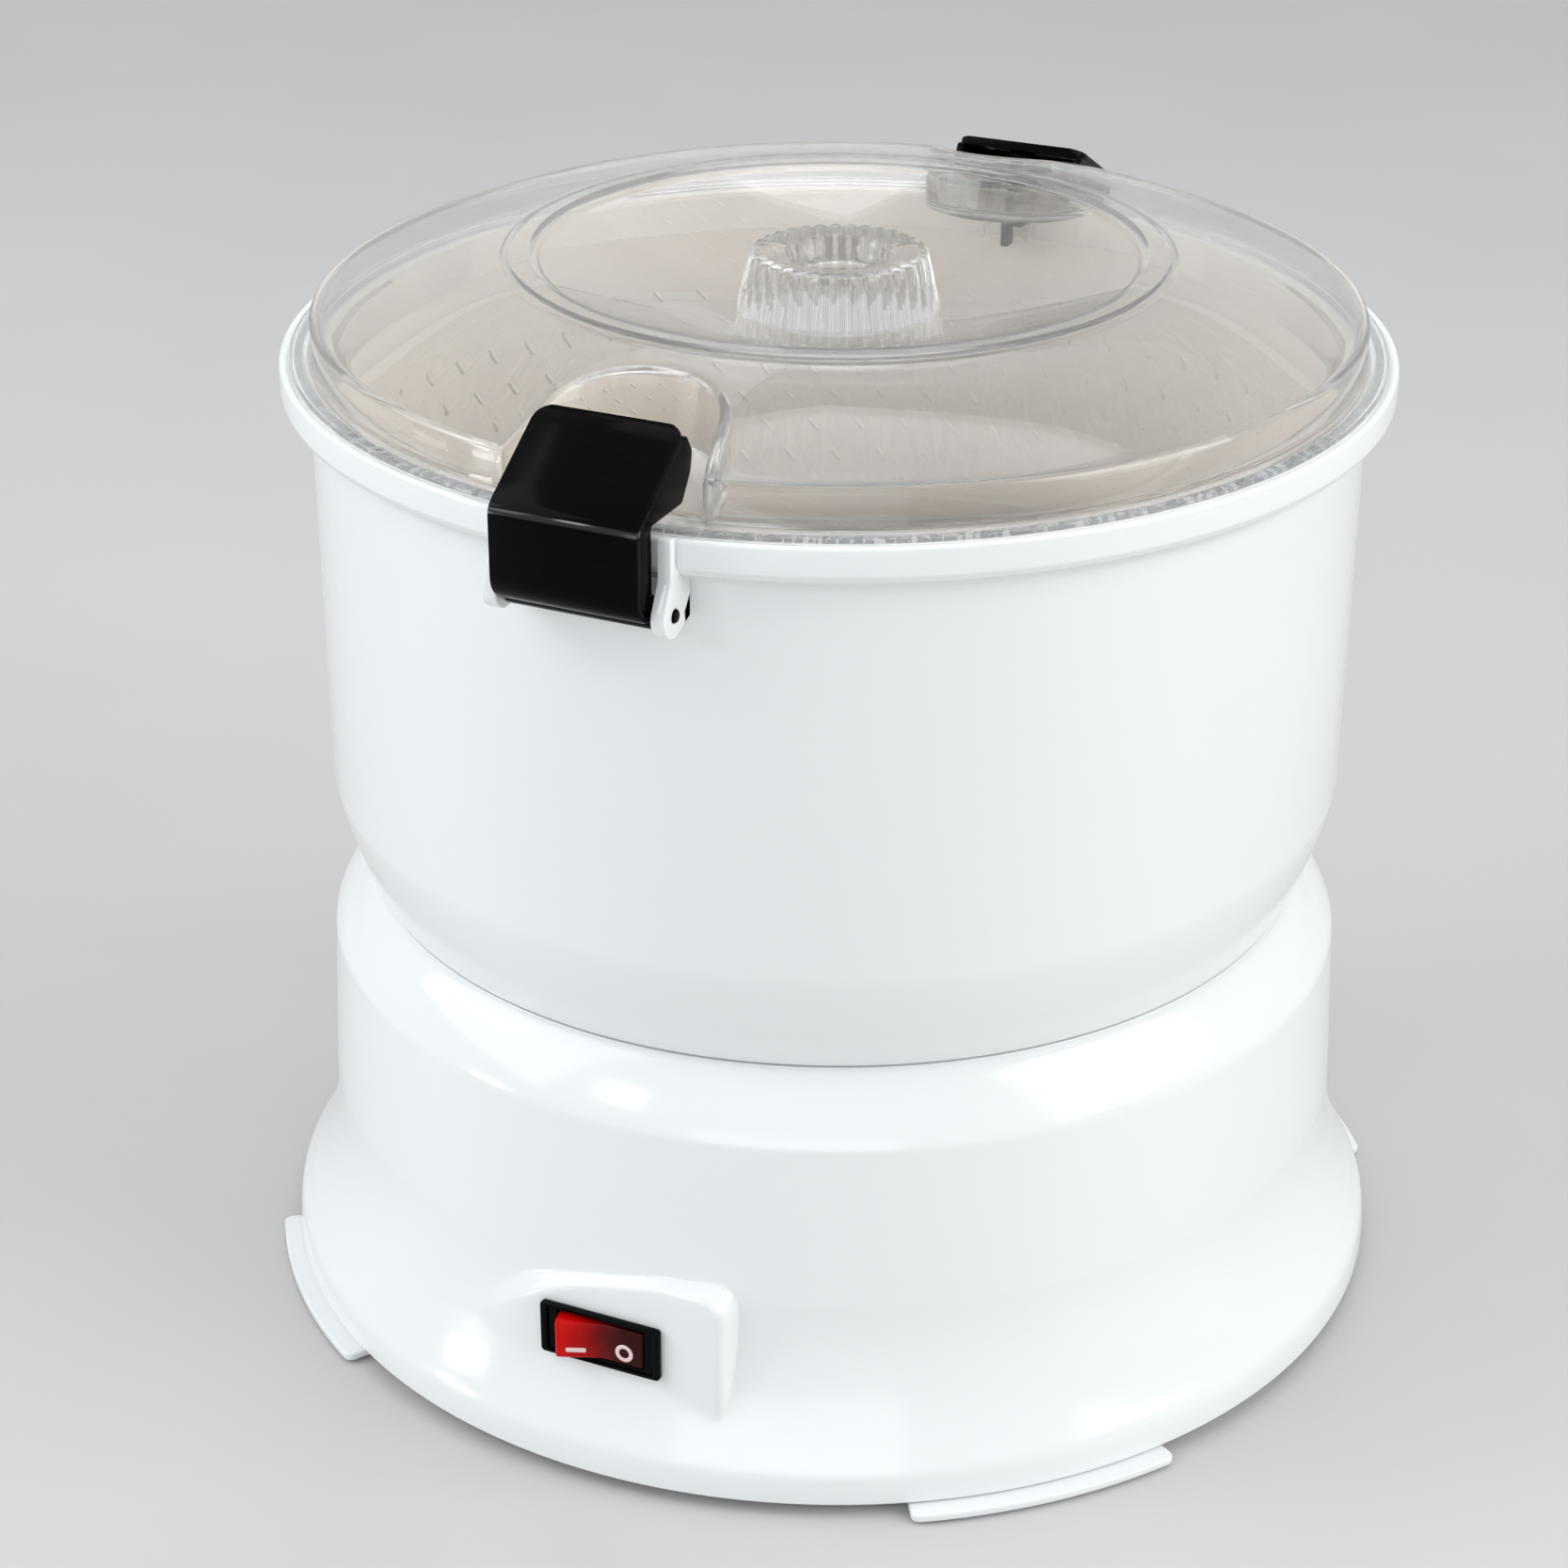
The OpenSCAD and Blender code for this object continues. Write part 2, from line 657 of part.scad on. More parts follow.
module field_coils() {
    mid_z = (stator_bottom + stator_top) / 2;
    color(copper) at_motor() for (s = [-1, 1]) translate([0, s * (slot_y + slot_d / 2), mid_z])
        difference() {
            cube([2 * (pole_half + slot_w - 0.4), slot_d - 0.6, stack_h + 2 * winding_h + 1], center = true);
            cube([2 * (pole_half + 0.3), slot_d + 1, stack_h + 0.6], center = true);
        }
}

module motor_bracket(z1, z2, post_z1, post_z2, hub_z1, hub_z2) {
    difference() {
        union() {
            block(-stator_half_x, stator_half_x, -stator_half_y, stator_half_y, z1, z2);
            four_bolts() rod(4, post_z1, post_z2);
            rod(bearing_r + 2.4, hub_z1, hub_z2);
        }
        rod(bearing_r + run_fit, hub_z1 - 1, hub_z2 + 1);
        four_bolts() rod(bolt_r + 0.2, min(z1, post_z1) - 1, max(z2, post_z2) + 1);
        for (s = [-1, 1]) for (t = [-1, 1]) scale([s, t, 1])
            block(window_in, stator_half_x - 3, bracket_rib, bolt_y - window_end, z1 - 1, z2 + 1);
    }
}

module motor_top_bracket() {
    color(steel) at_motor() motor_bracket(top_bracket_bottom, top_bracket_top,
        stator_top, top_bracket_bottom + tiny, top_bracket_top - bearing_h, top_bracket_top);
}

module motor_bottom_bracket() {
    color(steel) at_motor() motor_bracket(low_bracket_bottom, low_bracket_top,
        low_bracket_top - tiny, stator_bottom, low_bracket_bottom, low_bracket_bottom + bearing_h - 2);
}

module motor_bolts() {
    color(steel) at_motor() four_bolts() {
        rod(bolt_r, low_bracket_bottom - tiny, top_bracket_top - 0.2);
        rod(3.6, low_bracket_bottom - 1.8, low_bracket_bottom);
    }
}

module motor_bearings() {
    color(brass) at_motor() {
        tube(motor_shaft_r + run_fit, bearing_r, top_bracket_top - bearing_h, top_bracket_top - 0.2);
        tube(motor_shaft_r + run_fit, bearing_r, low_bracket_bottom, low_bracket_bottom + bearing_h - 2);
    }
}

module brush_holders() {
    color(black) at_motor() for (a = [0, 180]) rotate([0, 0, a]) difference() {
        block(commutator_r + 1.6, stator_half_x - 1, -brush_s / 2 - 1.4, brush_s / 2 + 1.4,
            low_bracket_top, brush_z + brush_s / 2 + 1.4);
        block(commutator_r, stator_half_x, -brush_s / 2 - seat, brush_s / 2 + seat,
            brush_z - brush_s / 2 - seat, brush_z + brush_s / 2 + seat);
    }
}

module carbon_brushes() {
    color(black) at_motor() for (a = [0, 180]) rotate([0, 0, a])
        block(commutator_r + 0.4, stator_half_x - 3, -brush_s / 2, brush_s / 2,
            brush_z - brush_s / 2, brush_z + brush_s / 2);
}

module switch_body() {
    color(black) difference() {
        union() {
            block(-bezel_w / 2, bezel_w / 2, -bezel_u, -panel_u - tiny, switch_z - bezel_h / 2,
                switch_z + bezel_h / 2);
            block(-switch_half_w, switch_half_w, -panel_u - 0.1, -panel_u + switch_l,
                switch_z - switch_half_h, switch_z + switch_half_h);
        }
        block(-well_half_l, well_half_l, -bezel_u - 1, -pivot_u + rocker_back + 2.8,
            switch_z - well_half_h, switch_z + well_half_h);
        block(-bezel_w / 2 + 2, bezel_w / 2 - 2, -bezel_u - 1, -bezel_u + recess_d,
            switch_z - bezel_h / 2 + 0.9, switch_z + bezel_h / 2 - 0.9);
        translate([0, -pivot_u, 0]) rod(pivot_pin_r + run_fit, switch_z - well_half_h - 0.5,
            switch_z + well_half_h + 0.5);
    }
}

module switch_terminals() {
    color(brass) for (x = [-8, 0, 8])
        block(x - 0.4, x + 0.4, -panel_u + switch_l, -panel_u + switch_l + 8, switch_z - 3.1, switch_z + 3.1);
}

module cord_gland() {
    color(black) difference() {
        union() {
            rod_y(gland_r, 0, gland_z, base_r - gland_deep, gland_u + 0.1);
            rod_y(gland_r + 2, 0, gland_z, gland_u, gland_u + 2);
        }
        rod_y(gland_r - 1.4, 0, gland_z, base_r - gland_deep - 1, gland_u + 3);
    }
}

module rocker() {
    half_l = rocker_l / 2;
    v_rise = half_l * tan(rocker_tilt);
    color([0.80, 0.03, 0.06]) translate([0, -pivot_u, switch_z]) rotate([0, 0, rocker_tilt]) {
        intersection() {
            translate([0, 0, -rocker_h / 2]) cylinder(r = half_l, h = rocker_h);
            translate([0, 0, -rocker_h / 2]) linear_extrude(height = rocker_h) polygon([
                [-half_l, rocker_back], [-half_l, -rocker_front - v_rise], [0, -rocker_front],
                [half_l, -rocker_front - v_rise], [half_l, rocker_back]]);
        }
        translate([0, 0, -well_half_h - 0.3]) cylinder(r = pivot_pin_r, h = 2 * well_half_h + 0.6);
    }
}

// Drive

module drive_shaft() {
    color(steel) difference() {
        union() {
            rod(shaft_r, cover_bottom - 5, hub_low_z - gap);
            translate([0, 0, hub_low_z - gap - tiny]) cylinder(r = hex_r, h = hex_l, $fn = 6);
        }
        tube(shaft_r - 0.8, shaft_r + 1, cover_bottom - 2.4, cover_bottom - 1.2);
    }
}

module retaining_clip() {
    color(steel) tube(shaft_r - 0.8 + run_fit, shaft_r + 2.4, cover_bottom - 2.3, cover_bottom - 1.3);
}

module output_gear() {
    color(nylon) difference() {
        union() {
            gear(gear_teeth, module_2, out_bottom, out_top);
            rod(shaft_r + 4.5, lower_hub_top + 0.3, out_top);
        }
        rod(shaft_r + run_fit, lower_hub_top - 1, out_top + 1);
        tube(shaft_r + 7.5, r_gear_2 - 5, out_bottom - 1, out_bottom + 2);
        tube(shaft_r + 7.5, r_gear_2 - 5, out_top - 2, out_top + 1);
    }
}

module idler_gear() {
    color(nylon) at_idler() difference() {
        union() {
            gear(gear_teeth, module_1, idler_bottom, idler_top);
            rod(r_pinion_2 - 1.6, idler_bottom, out_bottom + 1);
            rotate([0, 0, small_phase]) gear(pinion_teeth, module_2, idler_top + 1, out_top);
        }
        rod(3 + run_fit, idler_bottom - 1, out_top + 1);
        tube(r_pinion_2 + 3, r_gear_1 - 3.6, idler_bottom - 1, idler_bottom + 1.6);
    }
}

module rotor_shaft() {
    color(steel) at_motor() rod(motor_shaft_r, fan_top - fan_h - 0.6, idler_top + 1);
}

module motor_pinion() {
    color(brass) at_motor() difference() {
        rotate([0, 0, pinion_phase]) gear(pinion_teeth, module_1, idler_bottom, idler_top);
        rod(motor_shaft_r + run_fit, idler_bottom - 1, idler_top + 1);
    }
}

module armature_core() {
    color(steel) at_motor() difference() {
        rod(armature_r, stator_bottom, stator_top);
        rod(motor_shaft_r + run_fit, stator_bottom - 1, stator_top + 1);
        for (k = [0 : armature_slots - 1]) rotate([0, 0, 360 * k / armature_slots]) {
            block(armature_r - 5, armature_r + 1, -0.7, 0.7, stator_bottom - 1, stator_top + 1);
            translate([armature_r - 5, 0, 0]) rod(1.7, stator_bottom - 1, stator_top + 1);
        }
    }
}

module armature_winding() {
    color(copper) at_motor() for (z = [stator_bottom - winding_h, stator_top + seat])
        tube(motor_shaft_r + 2.5, armature_r - 2.6, z, z + winding_h - seat);
}

module commutator() {
    color(copper) at_motor() difference() {
        rod(commutator_r, commutator_bottom, commutator_bottom + commutator_h);
        rod(motor_shaft_r + run_fit, commutator_bottom - 1, commutator_bottom + commutator_h + 1);
        for (k = [0 : armature_slots - 1]) rotate([0, 0, 360 * k / armature_slots])
            block(commutator_r - 1, commutator_r + 1, -0.3, 0.3, commutator_bottom - 1,
                commutator_bottom + commutator_h + 1);
    }
}

module cooling_fan() {
    color(nylon) at_motor() difference() {
        union() {
            rod(fan_r, fan_top - fan_h, fan_top - fan_h + 1.2);
            rod(motor_shaft_r + 3, fan_top - fan_h, fan_top);
            for (k = [0 : fan_blades - 1]) rotate([0, 0, 360 * k / fan_blades])
                block(motor_shaft_r + 2, fan_r - 0.5, -0.6, 0.6, fan_top - fan_h + 1, fan_top);
        }
        rod(motor_shaft_r + run_fit, fan_top - fan_h - 1, fan_top + 1);
    }
}

// Bowl

module bowl_shell() {
    rotate_extrude() polygon(concat(
        bowl_side(0, bowl_low_z),
        [[bowl_r, rim_z - flange_h - 2.4], [flange_r - 0.8, rim_z - flange_h], [flange_r, rim_z - flange_h + 1],
            [flange_r, rim_z + lip_h - 0.6], [flange_r - 0.6, rim_z + lip_h], [lip_in_r, rim_z + lip_h],
            [lip_in_r, rim_z], [rebate_r, rim_z], [rebate_r, rim_z - rebate_h],
            [bowl_r - wall, rim_z - rebate_h]],
        turned(bowl_side(wall, floor_top)),
        [[chimney_out, floor_top], [chimney_out, chimney_top], [chimney_in, chimney_top],
            [chimney_in, floor_under], [ring_r - ring_w, floor_under], [ring_r - ring_w, ring_low_z],
            [ring_r, ring_low_z], [ring_r, bowl_low_z]]));
}

module outer_bowl() {
    color(white) difference() {
        bowl_shell();
        for (k = [0 : 2]) rotate([0, 0, 120 * k + 60]) block(ring_r - ring_w - 1.2, ring_r + 0.3,
            -key_w / 2 - 0.5, key_w / 2 + 0.5, ring_low_z - 1, deck_z + key_h + 0.4);
    }
}

module peeling_liner() {
    rise = (rim_z - lid_skirt_h - tooth_high - liner_low_z - tooth_low) / max(1, tooth_rows - 1);
    color(white) union() {
        tube(liner_in, liner_out, liner_low_z, rim_z - liner_lip);
        tube(liner_in, rebate_r - seat, rim_z - rebate_h + 0.2, rim_z - 0.2);
        for (row = [0 : tooth_rows - 1]) for (k = [0 : teeth_per_row - 1])
            rotate([0, 0, (k + 0.5 * (row % 2)) * 360 / teeth_per_row])
                translate([liner_in + 0.1, 0, liner_low_z + tooth_low + row * rise]) rotate([tooth_slant, 0, 0])
                    cube([2 * tooth_h, tooth_h, tooth_l], center = true);
    }
}

module bracket() {
    wall_u = sqrt(bowl_r * bowl_r - ear_in * ear_in) + seat;
    rim_u = sqrt(flange_r * flange_r - ear_in * ear_in) + seat;
    under_z = rim_z - flange_h - 2.6;
    ear_u = rim_u + ear_lip;
    ear = [[wall_u, pin_z - 2.6], [pin_u - 1, pin_z - ear_lobe + 1.2], [pin_u + 3.2, pin_z - 1],
        [pin_u + 3.2, pin_z + 3], [ear_u, pin_z + 8], [ear_u, rim_z + 1.6], [rim_u, rim_z + 1.6],
        [rim_u, rim_z - flange_h + 0.8], [rim_u - 0.8, rim_z - flange_h - 0.2], [wall_u, under_z]];
    difference() {
        union() {
            for (s = [-1, 1]) {
                along_x(ear, s > 0 ? ear_in : -ear_out, s > 0 ? ear_out : -ear_in);
                rod_x(ear_lobe, pin_u, pin_z, s > 0 ? ear_in : -ear_out, s > 0 ? ear_out : -ear_in);
            }
            rotate([0, 0, 90]) sector(bowl_r + seat, bowl_r + seat + 1.6, pin_z + barrel_r + 1.6,
                under_z - seat, 2 * asin((ear_in + ear_out) / 2 / bowl_r));
        }
        rod_x(pin_r + run_fit, pin_u, pin_z, -ear_out - 1, ear_out + 1);
    }
}

module hinge_pin() {
    rod_x(pin_r, pin_u, pin_z, -ear_out - pin_end, ear_out + pin_end);
}

module front_bracket() { color(white) rotate([0, 0, 180]) bracket(); }
module rear_bracket() { color(white) bracket(); }
module front_hinge_pin() { color(black) rotate([0, 0, 180]) hinge_pin(); }
module rear_hinge_pin() { color(black) hinge_pin(); }

// Disc

module hump_bars(grow) {
    for (k = [0 : humps - 1]) rotate([0, 0, 360 * k / humps + 30])
        translate([hump_in, 0, disc_top - hump_sink]) rotate([0, 90, 0])
            cylinder(r = hump_r + grow, h = disc_r - 7 - hump_in + grow);
}

module peeling_disc() {
    color(nylon) difference() {
        union() {
            rod(disc_r, disc_z, disc_top);
            intersection() {
                hump_bars(0);
                rod(disc_r, disc_z + 0.5, disc_top + hump_h);
            }
            rod(hub_core_r, hub_low_z, disc_z + tiny);
            tube(hub_skirt_in, hub_skirt_in + wall, chimney_top - 6, disc_z + tiny);
            for (k = [0 : 5]) rotate([0, 0, 60 * k])
                block(hub_skirt_in + 1, disc_r - 8, -1, 1, disc_z - 4, disc_z + tiny);
        }
        translate([0, 0, hub_low_z - 1])
            cylinder(r = hex_r + gap, h = hex_top - hub_low_z + 1.4, $fn = 6);
    }
}

module abrasive_pad() {
    color([0.55, 0.53, 0.50]) difference() {
        tube(cap_r + 1, disc_r - 3, disc_top, disc_top + pad_t);
        hump_bars(gap);
    }
}

module hub_cap() {
    color(black) {
        rod(cap_r, disc_top, disc_top + cap_h / 2);
        translate([0, 0, disc_top + cap_h / 2 - tiny]) cylinder(r1 = cap_r, r2 = cap_r - 4, h = cap_h / 2);
    }
}

// Lid

module pocket(grow, z1, z2) {
    mouth = pocket_r + grow + 4;
    translate([0, pocket_ring, z1]) cylinder(r = pocket_r + grow, h = z2 - z1);
    translate([0, 0, z1]) linear_extrude(height = z2 - z1) polygon([
        [-pocket_r - grow, pocket_ring], [-mouth, lid_wall_r], [-mouth, lid_wall_r + 8],
        [mouth, lid_wall_r + 8], [mouth, lid_wall_r], [pocket_r + grow, pocket_ring]]);
}

module both_ends() {
    children();
    rotate([0, 0, 180]) children();
}

module lid_outside() {
    rotate_extrude() polygon(concat(
        [for (i = [0 : arc_n]) let (r = crest_r * i / arc_n) [r, dish_at(r)]],
        [[crest_r + 1.2, crest_z], [dome_in_r - 1.6, crest_z]],
        [for (i = [0 : arc_n]) let (r = dome_in_r + (lid_wall_r - 1 - dome_in_r) * i / arc_n) [r, dome_at(r)]],
        [[lid_wall_r, lid_edge_z], [lid_wall_r, lid_floor_z], [lid_flange_r, lid_floor_z],
            [lid_flange_r, lid_low_z], [skirt_out, lid_low_z], [skirt_out, rim_z - lid_skirt_h],
            [0, rim_z - lid_skirt_h]]));
}

module lid_inside() {
    rotate_extrude() polygon(concat(
        [for (i = [0 : arc_n]) let (r = crest_r * i / arc_n) [r, dish_at(r) - lid_t]],
        [[crest_r + 2, crest_z - lid_t], [dome_in_r - 2, crest_z - lid_t]],
        [for (i = [0 : arc_n]) let (r = dome_in_r + (lid_wall_r - lid_t - 0.6 - dome_in_r) * i / arc_n)
            [r, dome_at(r) - lid_t]],
        [[lid_wall_r - lid_t, lid_edge_z - lid_t], [lid_wall_r - lid_t, lid_floor_z],
            [skirt_in, lid_floor_z], [skirt_in, rim_z - lid_skirt_h - 1], [0, rim_z - lid_skirt_h - 1]]));
}

module knob() {
    lean = atan2(knob_foot_r - knob_top_r, knob_top_z - knob_foot_z);
    mid_r = (knob_foot_r + knob_top_r) / 2;
    mid_z = (knob_foot_z + knob_top_z) / 2;
    difference() {
        intersection() {
            union() {
                translate([0, 0, knob_foot_z])
                    cylinder(r1 = knob_foot_r, r2 = knob_top_r, h = knob_top_z - knob_foot_z);
                for (k = [0 : knob_flutes - 1]) rotate([0, 0, 360 * k / knob_flutes])
                    translate([mid_r, 0, mid_z]) rotate([0, -lean, 0])
                        cylinder(r = flute_r, h = knob_top_z - knob_foot_z + 4, center = true, $fn = 24);
            }
            rod(knob_foot_r + 4, knob_foot_z, knob_top_z);
        }
        translate([0, 0, dish_z + 3.6])
            cylinder(r1 = knob_top_r - 6, r2 = knob_top_r - 3.4, h = knob_top_z - dish_z);
    }
}

module lid() {
    color(clear) union() {
        difference() {
            lid_outside();
            difference() {
                lid_inside();
                both_ends() pocket(lid_t, lid_low_z, crest_z + 1);
            }
            both_ends() pocket(0, lid_floor_z, crest_z + 2);
            tube(gasket_mid - gasket_w / 2 - 0.2, gasket_mid + gasket_w / 2 + 0.2, lid_low_z - 1,
                lid_low_z + 0.8);
        }
        knob();
        for (x = [key_x - 6.9, key_x + 6.3]) block(x - 0.7, x + 0.7, skirt_in - 3, skirt_in + 0.4,
            rim_z - lid_skirt_h, rim_z + 0.6);
    }
}

module lid_gasket() {
    color(white) tube(gasket_mid - gasket_w / 2, gasket_mid + gasket_w / 2, rim_z + 0.1, lid_low_z + 0.8);
}

module lid_key() {
    key_in = skirt_in - 2.7;
    key_out = skirt_in - seat - 0.05;
    color(black) {
        block(key_x - 1.4, key_x + 1.4, key_in, key_out, rim_z - lid_skirt_h, rim_z - 4);
        block(key_x - 1.4, key_x + 5.2, key_in, key_out, rim_z - 6.4, rim_z - 4);
    }
}

// Latch: curled front plate, sloping top, two cheeks, a hook and a hinge barrel

module latch() {
    curl_mid = curl_r - latch_t / 2;
    cheek = concat([[latch_in_u + tiny, fold_z], [tip_u, tip_z - latch_t / 2], [tip_u - nose_out, tip_z - 6],
            [tip_u - nose_out + 1, tip_z - nose_low], [tip_u + 2.4, cheek_low_z], [cheek_in_u, cheek_low_z],
            [cheek_in_u, pin_z + 3], [pin_u, pin_z]],
        [for (a = [90 : -15 : 0]) [curl_u + curl_mid * cos(a), curl_z - curl_mid * sin(a)]]);
    difference() {
        union() {
            rod_x(barrel_r, pin_u, pin_z, -latch_half_w, latch_half_w);
            intersection() {
                difference() {
                    rod_x(curl_r, curl_u, curl_z, -latch_half_w, latch_half_w);
                    rod_x(curl_r - latch_t, curl_u, curl_z, -latch_half_w - 1, latch_half_w + 1);
                }
                block(-latch_half_w, latch_half_w, pin_u, latch_out_u + 1, curl_z - curl_r - 1, curl_z);
            }
            along_x([[latch_in_u, curl_z - tiny], [latch_out_u, curl_z - tiny], [latch_out_u, fold_z],
                [tip_u, tip_z], [tip_u, tip_z - slope_drop], [latch_in_u, fold_z - latch_t * 0.4]],
                -latch_half_w, latch_half_w);
            for (s = [-1, 1]) along_x(cheek, s > 0 ? latch_half_w - cheek_t : -latch_half_w,
                s > 0 ? latch_half_w : -latch_half_w + cheek_t);
            along_x([[tip_u, tip_z - latch_t / 2], [tip_u + 0.4, lid_floor_z + 0.3],
                [tip_u + 2.4, lid_floor_z + 0.3], [tip_u + 3.4, tip_z - latch_t * 1.6]],
                -hook_half_w, hook_half_w);
        }
        rod_x(pin_r + run_fit, pin_u, pin_z, -latch_half_w - 1, latch_half_w + 1);
    }
}

module front_latch() { color(black) rotate([0, 0, 180]) latch(); }
module rear_latch() { color(black) latch(); }

base_housing();
base_plate();
rubber_feet();
plate_screws();
gearbox_case();
gearbox_cover();
gearbox_screws();
idler_axle();
upper_bush();
lower_bush();
shaft_seal();
motor_stator();
field_coils();
motor_top_bracket();
motor_bottom_bracket();
motor_bolts();
motor_bearings();
brush_holders();
carbon_brushes();
switch_body();
switch_terminals();
cord_gland();
drive_shaft();
output_gear();
retaining_clip();
idler_gear();
rotor_shaft();
armature_core();
armature_winding();
commutator();
motor_pinion();
cooling_fan();
outer_bowl();
peeling_liner();
front_bracket();
rear_bracket();
front_hinge_pin();
rear_hinge_pin();
peeling_disc();
abrasive_pad();
hub_cap();
lid();
lid_gasket();
lid_key();
front_latch();
rear_latch();
rocker();
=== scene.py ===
import math

import bmesh
import bpy
from mathutils import Matrix, Vector
from mathutils.geometry import delaunay_2d_cdt


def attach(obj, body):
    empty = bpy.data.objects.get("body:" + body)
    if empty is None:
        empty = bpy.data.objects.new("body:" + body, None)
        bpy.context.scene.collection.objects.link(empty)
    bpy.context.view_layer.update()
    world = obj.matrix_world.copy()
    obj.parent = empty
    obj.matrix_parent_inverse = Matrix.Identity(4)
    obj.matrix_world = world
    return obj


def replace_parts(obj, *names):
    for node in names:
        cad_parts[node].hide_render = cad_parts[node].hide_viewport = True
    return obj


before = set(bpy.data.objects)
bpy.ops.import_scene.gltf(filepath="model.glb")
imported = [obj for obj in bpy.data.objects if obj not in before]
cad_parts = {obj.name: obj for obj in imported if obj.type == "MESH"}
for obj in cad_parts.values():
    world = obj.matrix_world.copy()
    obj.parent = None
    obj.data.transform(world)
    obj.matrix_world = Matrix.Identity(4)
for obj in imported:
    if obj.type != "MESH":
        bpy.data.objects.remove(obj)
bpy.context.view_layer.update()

MM = 0.001
MM_PER_METRE = 1000
MERGE_GAP = 0.00001
TURN = 2 * math.pi
scene = bpy.context.scene


# ---------------------------------------------------------------- sizes, in millimetres

# At the end of a name, R, IN and OUT mean a radius, Z, LOW, TOP and UNDER a height over the floor,
# U a distance from the axis towards the front or the rear, and X one to the side.

# base
WALL = 2.4
BASE_R = 128.7
BASE_DRAFT = 1.7
SKIRT_R = BASE_R + 12
SKIRT_LIFT = 3.0
SKIRT_ROLL = 0.4
SKIRT_POWER = 2.2
KNEE_Z = 11.0
SKIRT_TOP_Z = 50.0
SHOULDER_Z = 91.0
ROUNDING_POWER = 1.2
SEAM_R = 116.0
SEAM_Z = 106.6
WELL_R = 110.6
DECK_Z = 100.0
SHAFT_BOSS_R = 11.9
SHAFT_BOSS_TOP_Z = 117.0
SHAFT_HOLE_R = 5.1
SEAL_R = 9.0
SEAL_LOW_Z = 113.2
KEY_RING_R = 109.0
PILLAR_RING_R = 104.0
PILLAR_R = 5
SCREW_R = 1.6
PLATE_R = 136.8
PLATE_LOW_Z = 0.8
PLATE_TOP_Z = PLATE_LOW_Z + 2
TAB_R = 145.2
TAB_HALF_TURN = math.radians(13.5)

# switch panel: its top edge falls and its left side runs out into the skirt
PANEL_U = 131.7
PANEL_HALF = 30.5
PANEL_TOP_Z = 53.0
PANEL_CORNER = 5.0
PANEL_DRAFT = 0.30
PANEL_FALL = 0.22
PANEL_FALL_X = 14
PANEL_DROOP = 0.01
PANEL_DROOP_X = -2
PANEL_SOFTENING = 0.014
PANEL_RUN_OUT = 0.014
PANEL_RUN_OUT_X = -16.5

# switch and cord gland
SWITCH_Z = 35.6
BEZEL_U = PANEL_U + 2
WELL_FLOOR_U = 126.2
SWITCH_BACK_U = 113.7
PIVOT_U = 131.0
BEZEL_HALF = (15.6, 6.95)
RECESS_HALF = (13.8, 6.2)
SWITCH_HALF = (13.7, 6.3)
SWITCH_WELL_HALF = (11.4, 5.3)
BEZEL_FLOOR_HALF = (14.1, 6.4)
ROCKER_HALF = 11.0
ROCKER_HALF_WIDE = 4.9
ROCKER_FACE = 2.2
ROCKER_TILT = math.radians(11)
CORD_Z = 24.0
CORD_BOSS_R = 9.0
CORD_BOSS_U = PANEL_U + 6
CORD_BOSS_DRAFT = 0.18
GLAND_R = 5
GLAND_BORE_R = 3.6
GLAND_HEAD_R = 7
GLAND_OUT_U = CORD_BOSS_U + 2

# bowl and liner
BOWL_R = 125.9
BOWL_DRAFT = 0.6
BOWL_LOW = 107.2
BOWL_ROUND_Z = 134.4
FLOOR_UNDER = 112.0
FLOOR_TOP = FLOOR_UNDER + WALL
SPIGOT_R = 110.0
SPIGOT_WALL = 3
SPIGOT_LOW_Z = 100.3
HUB_R = 15.0
HUB_BORE_R = 12.6
HUB_TOP_Z = 124.0
RIM_Z = 238.7
FLANGE_R = 132.6
LIP_IN = FLANGE_R - 1.8
LIP_RISE = 1.5
REBATE_R = 125.5
REBATE_DEEP = 2
LINER_OUT = 122.5
LINER_IN = LINER_OUT - 1.8
LINER_LOW = BOWL_ROUND_Z
TEETH_IN_ROW = 60
TOOTH_ROWS = 7
TOOTH_ROW_RISE = 10.0
TOOTH_SLANT = math.radians(55)

# disc
DISC_R = 117.1
DISC_FLAT_R = DISC_R - 1.6
DISC_Z = 128.8
DISC_TOP = DISC_Z + 3
DISC_BORE_R = 5.2
DISC_HUB_R = 8.4
DISC_HUB_LOW_Z = 119.6
DISC_SKIRT_IN = 15.9
DISC_SKIRT_OUT = 18.3
DISC_SKIRT_LOW_Z = 118.0
HUMP_R = 14
HUMP_SUNK = 8
HUMP_NEAR = 18
HUMP_FAR = 110
HUMP_END = 4
PAD_IN = 16.2
PAD_OUT = 113.8
PAD_THICK = 0.82
CAP_R = 15
CAP_RISE = 8

# lid
LID_T = 2.2
CREST_R = 71.9
CREST_Z = 263.0
CREST_EDGE = 0.9
CREST_FOOT_IN = 71.2
CREST_FLAT_IN = 73.4
CREST_FLAT_OUT = 77.6
CREST_FOOT_OUT = 80.2
DISH_Z = 246.8
DOME_START_R = 79.6
DOME_RUN = 44.6
DOME_END_R = 124.2
LID_WALL_R = 125.1
LID_EDGE_Z = 249.2
LID_EDGE_ROUND = 1.7
LID_LOW = RIM_Z + 0.4
LID_FLOOR_Z = LID_LOW + 2
LID_FLANGE_R = LIP_IN - 0.6
LID_SKIRT_OUT = 120.2
LID_SKIRT_IN = LID_SKIRT_OUT - 1.8
LID_SKIRT_LOW = 229.0
GASKET_IN = 126.5
GASKET_OUT = 129.3
GASKET_SEAT = 0.8
POCKET_R = 19.5
POCKET_U = 110.4
POCKET_MOUTH = 4
POCKET_RISE = 3.6
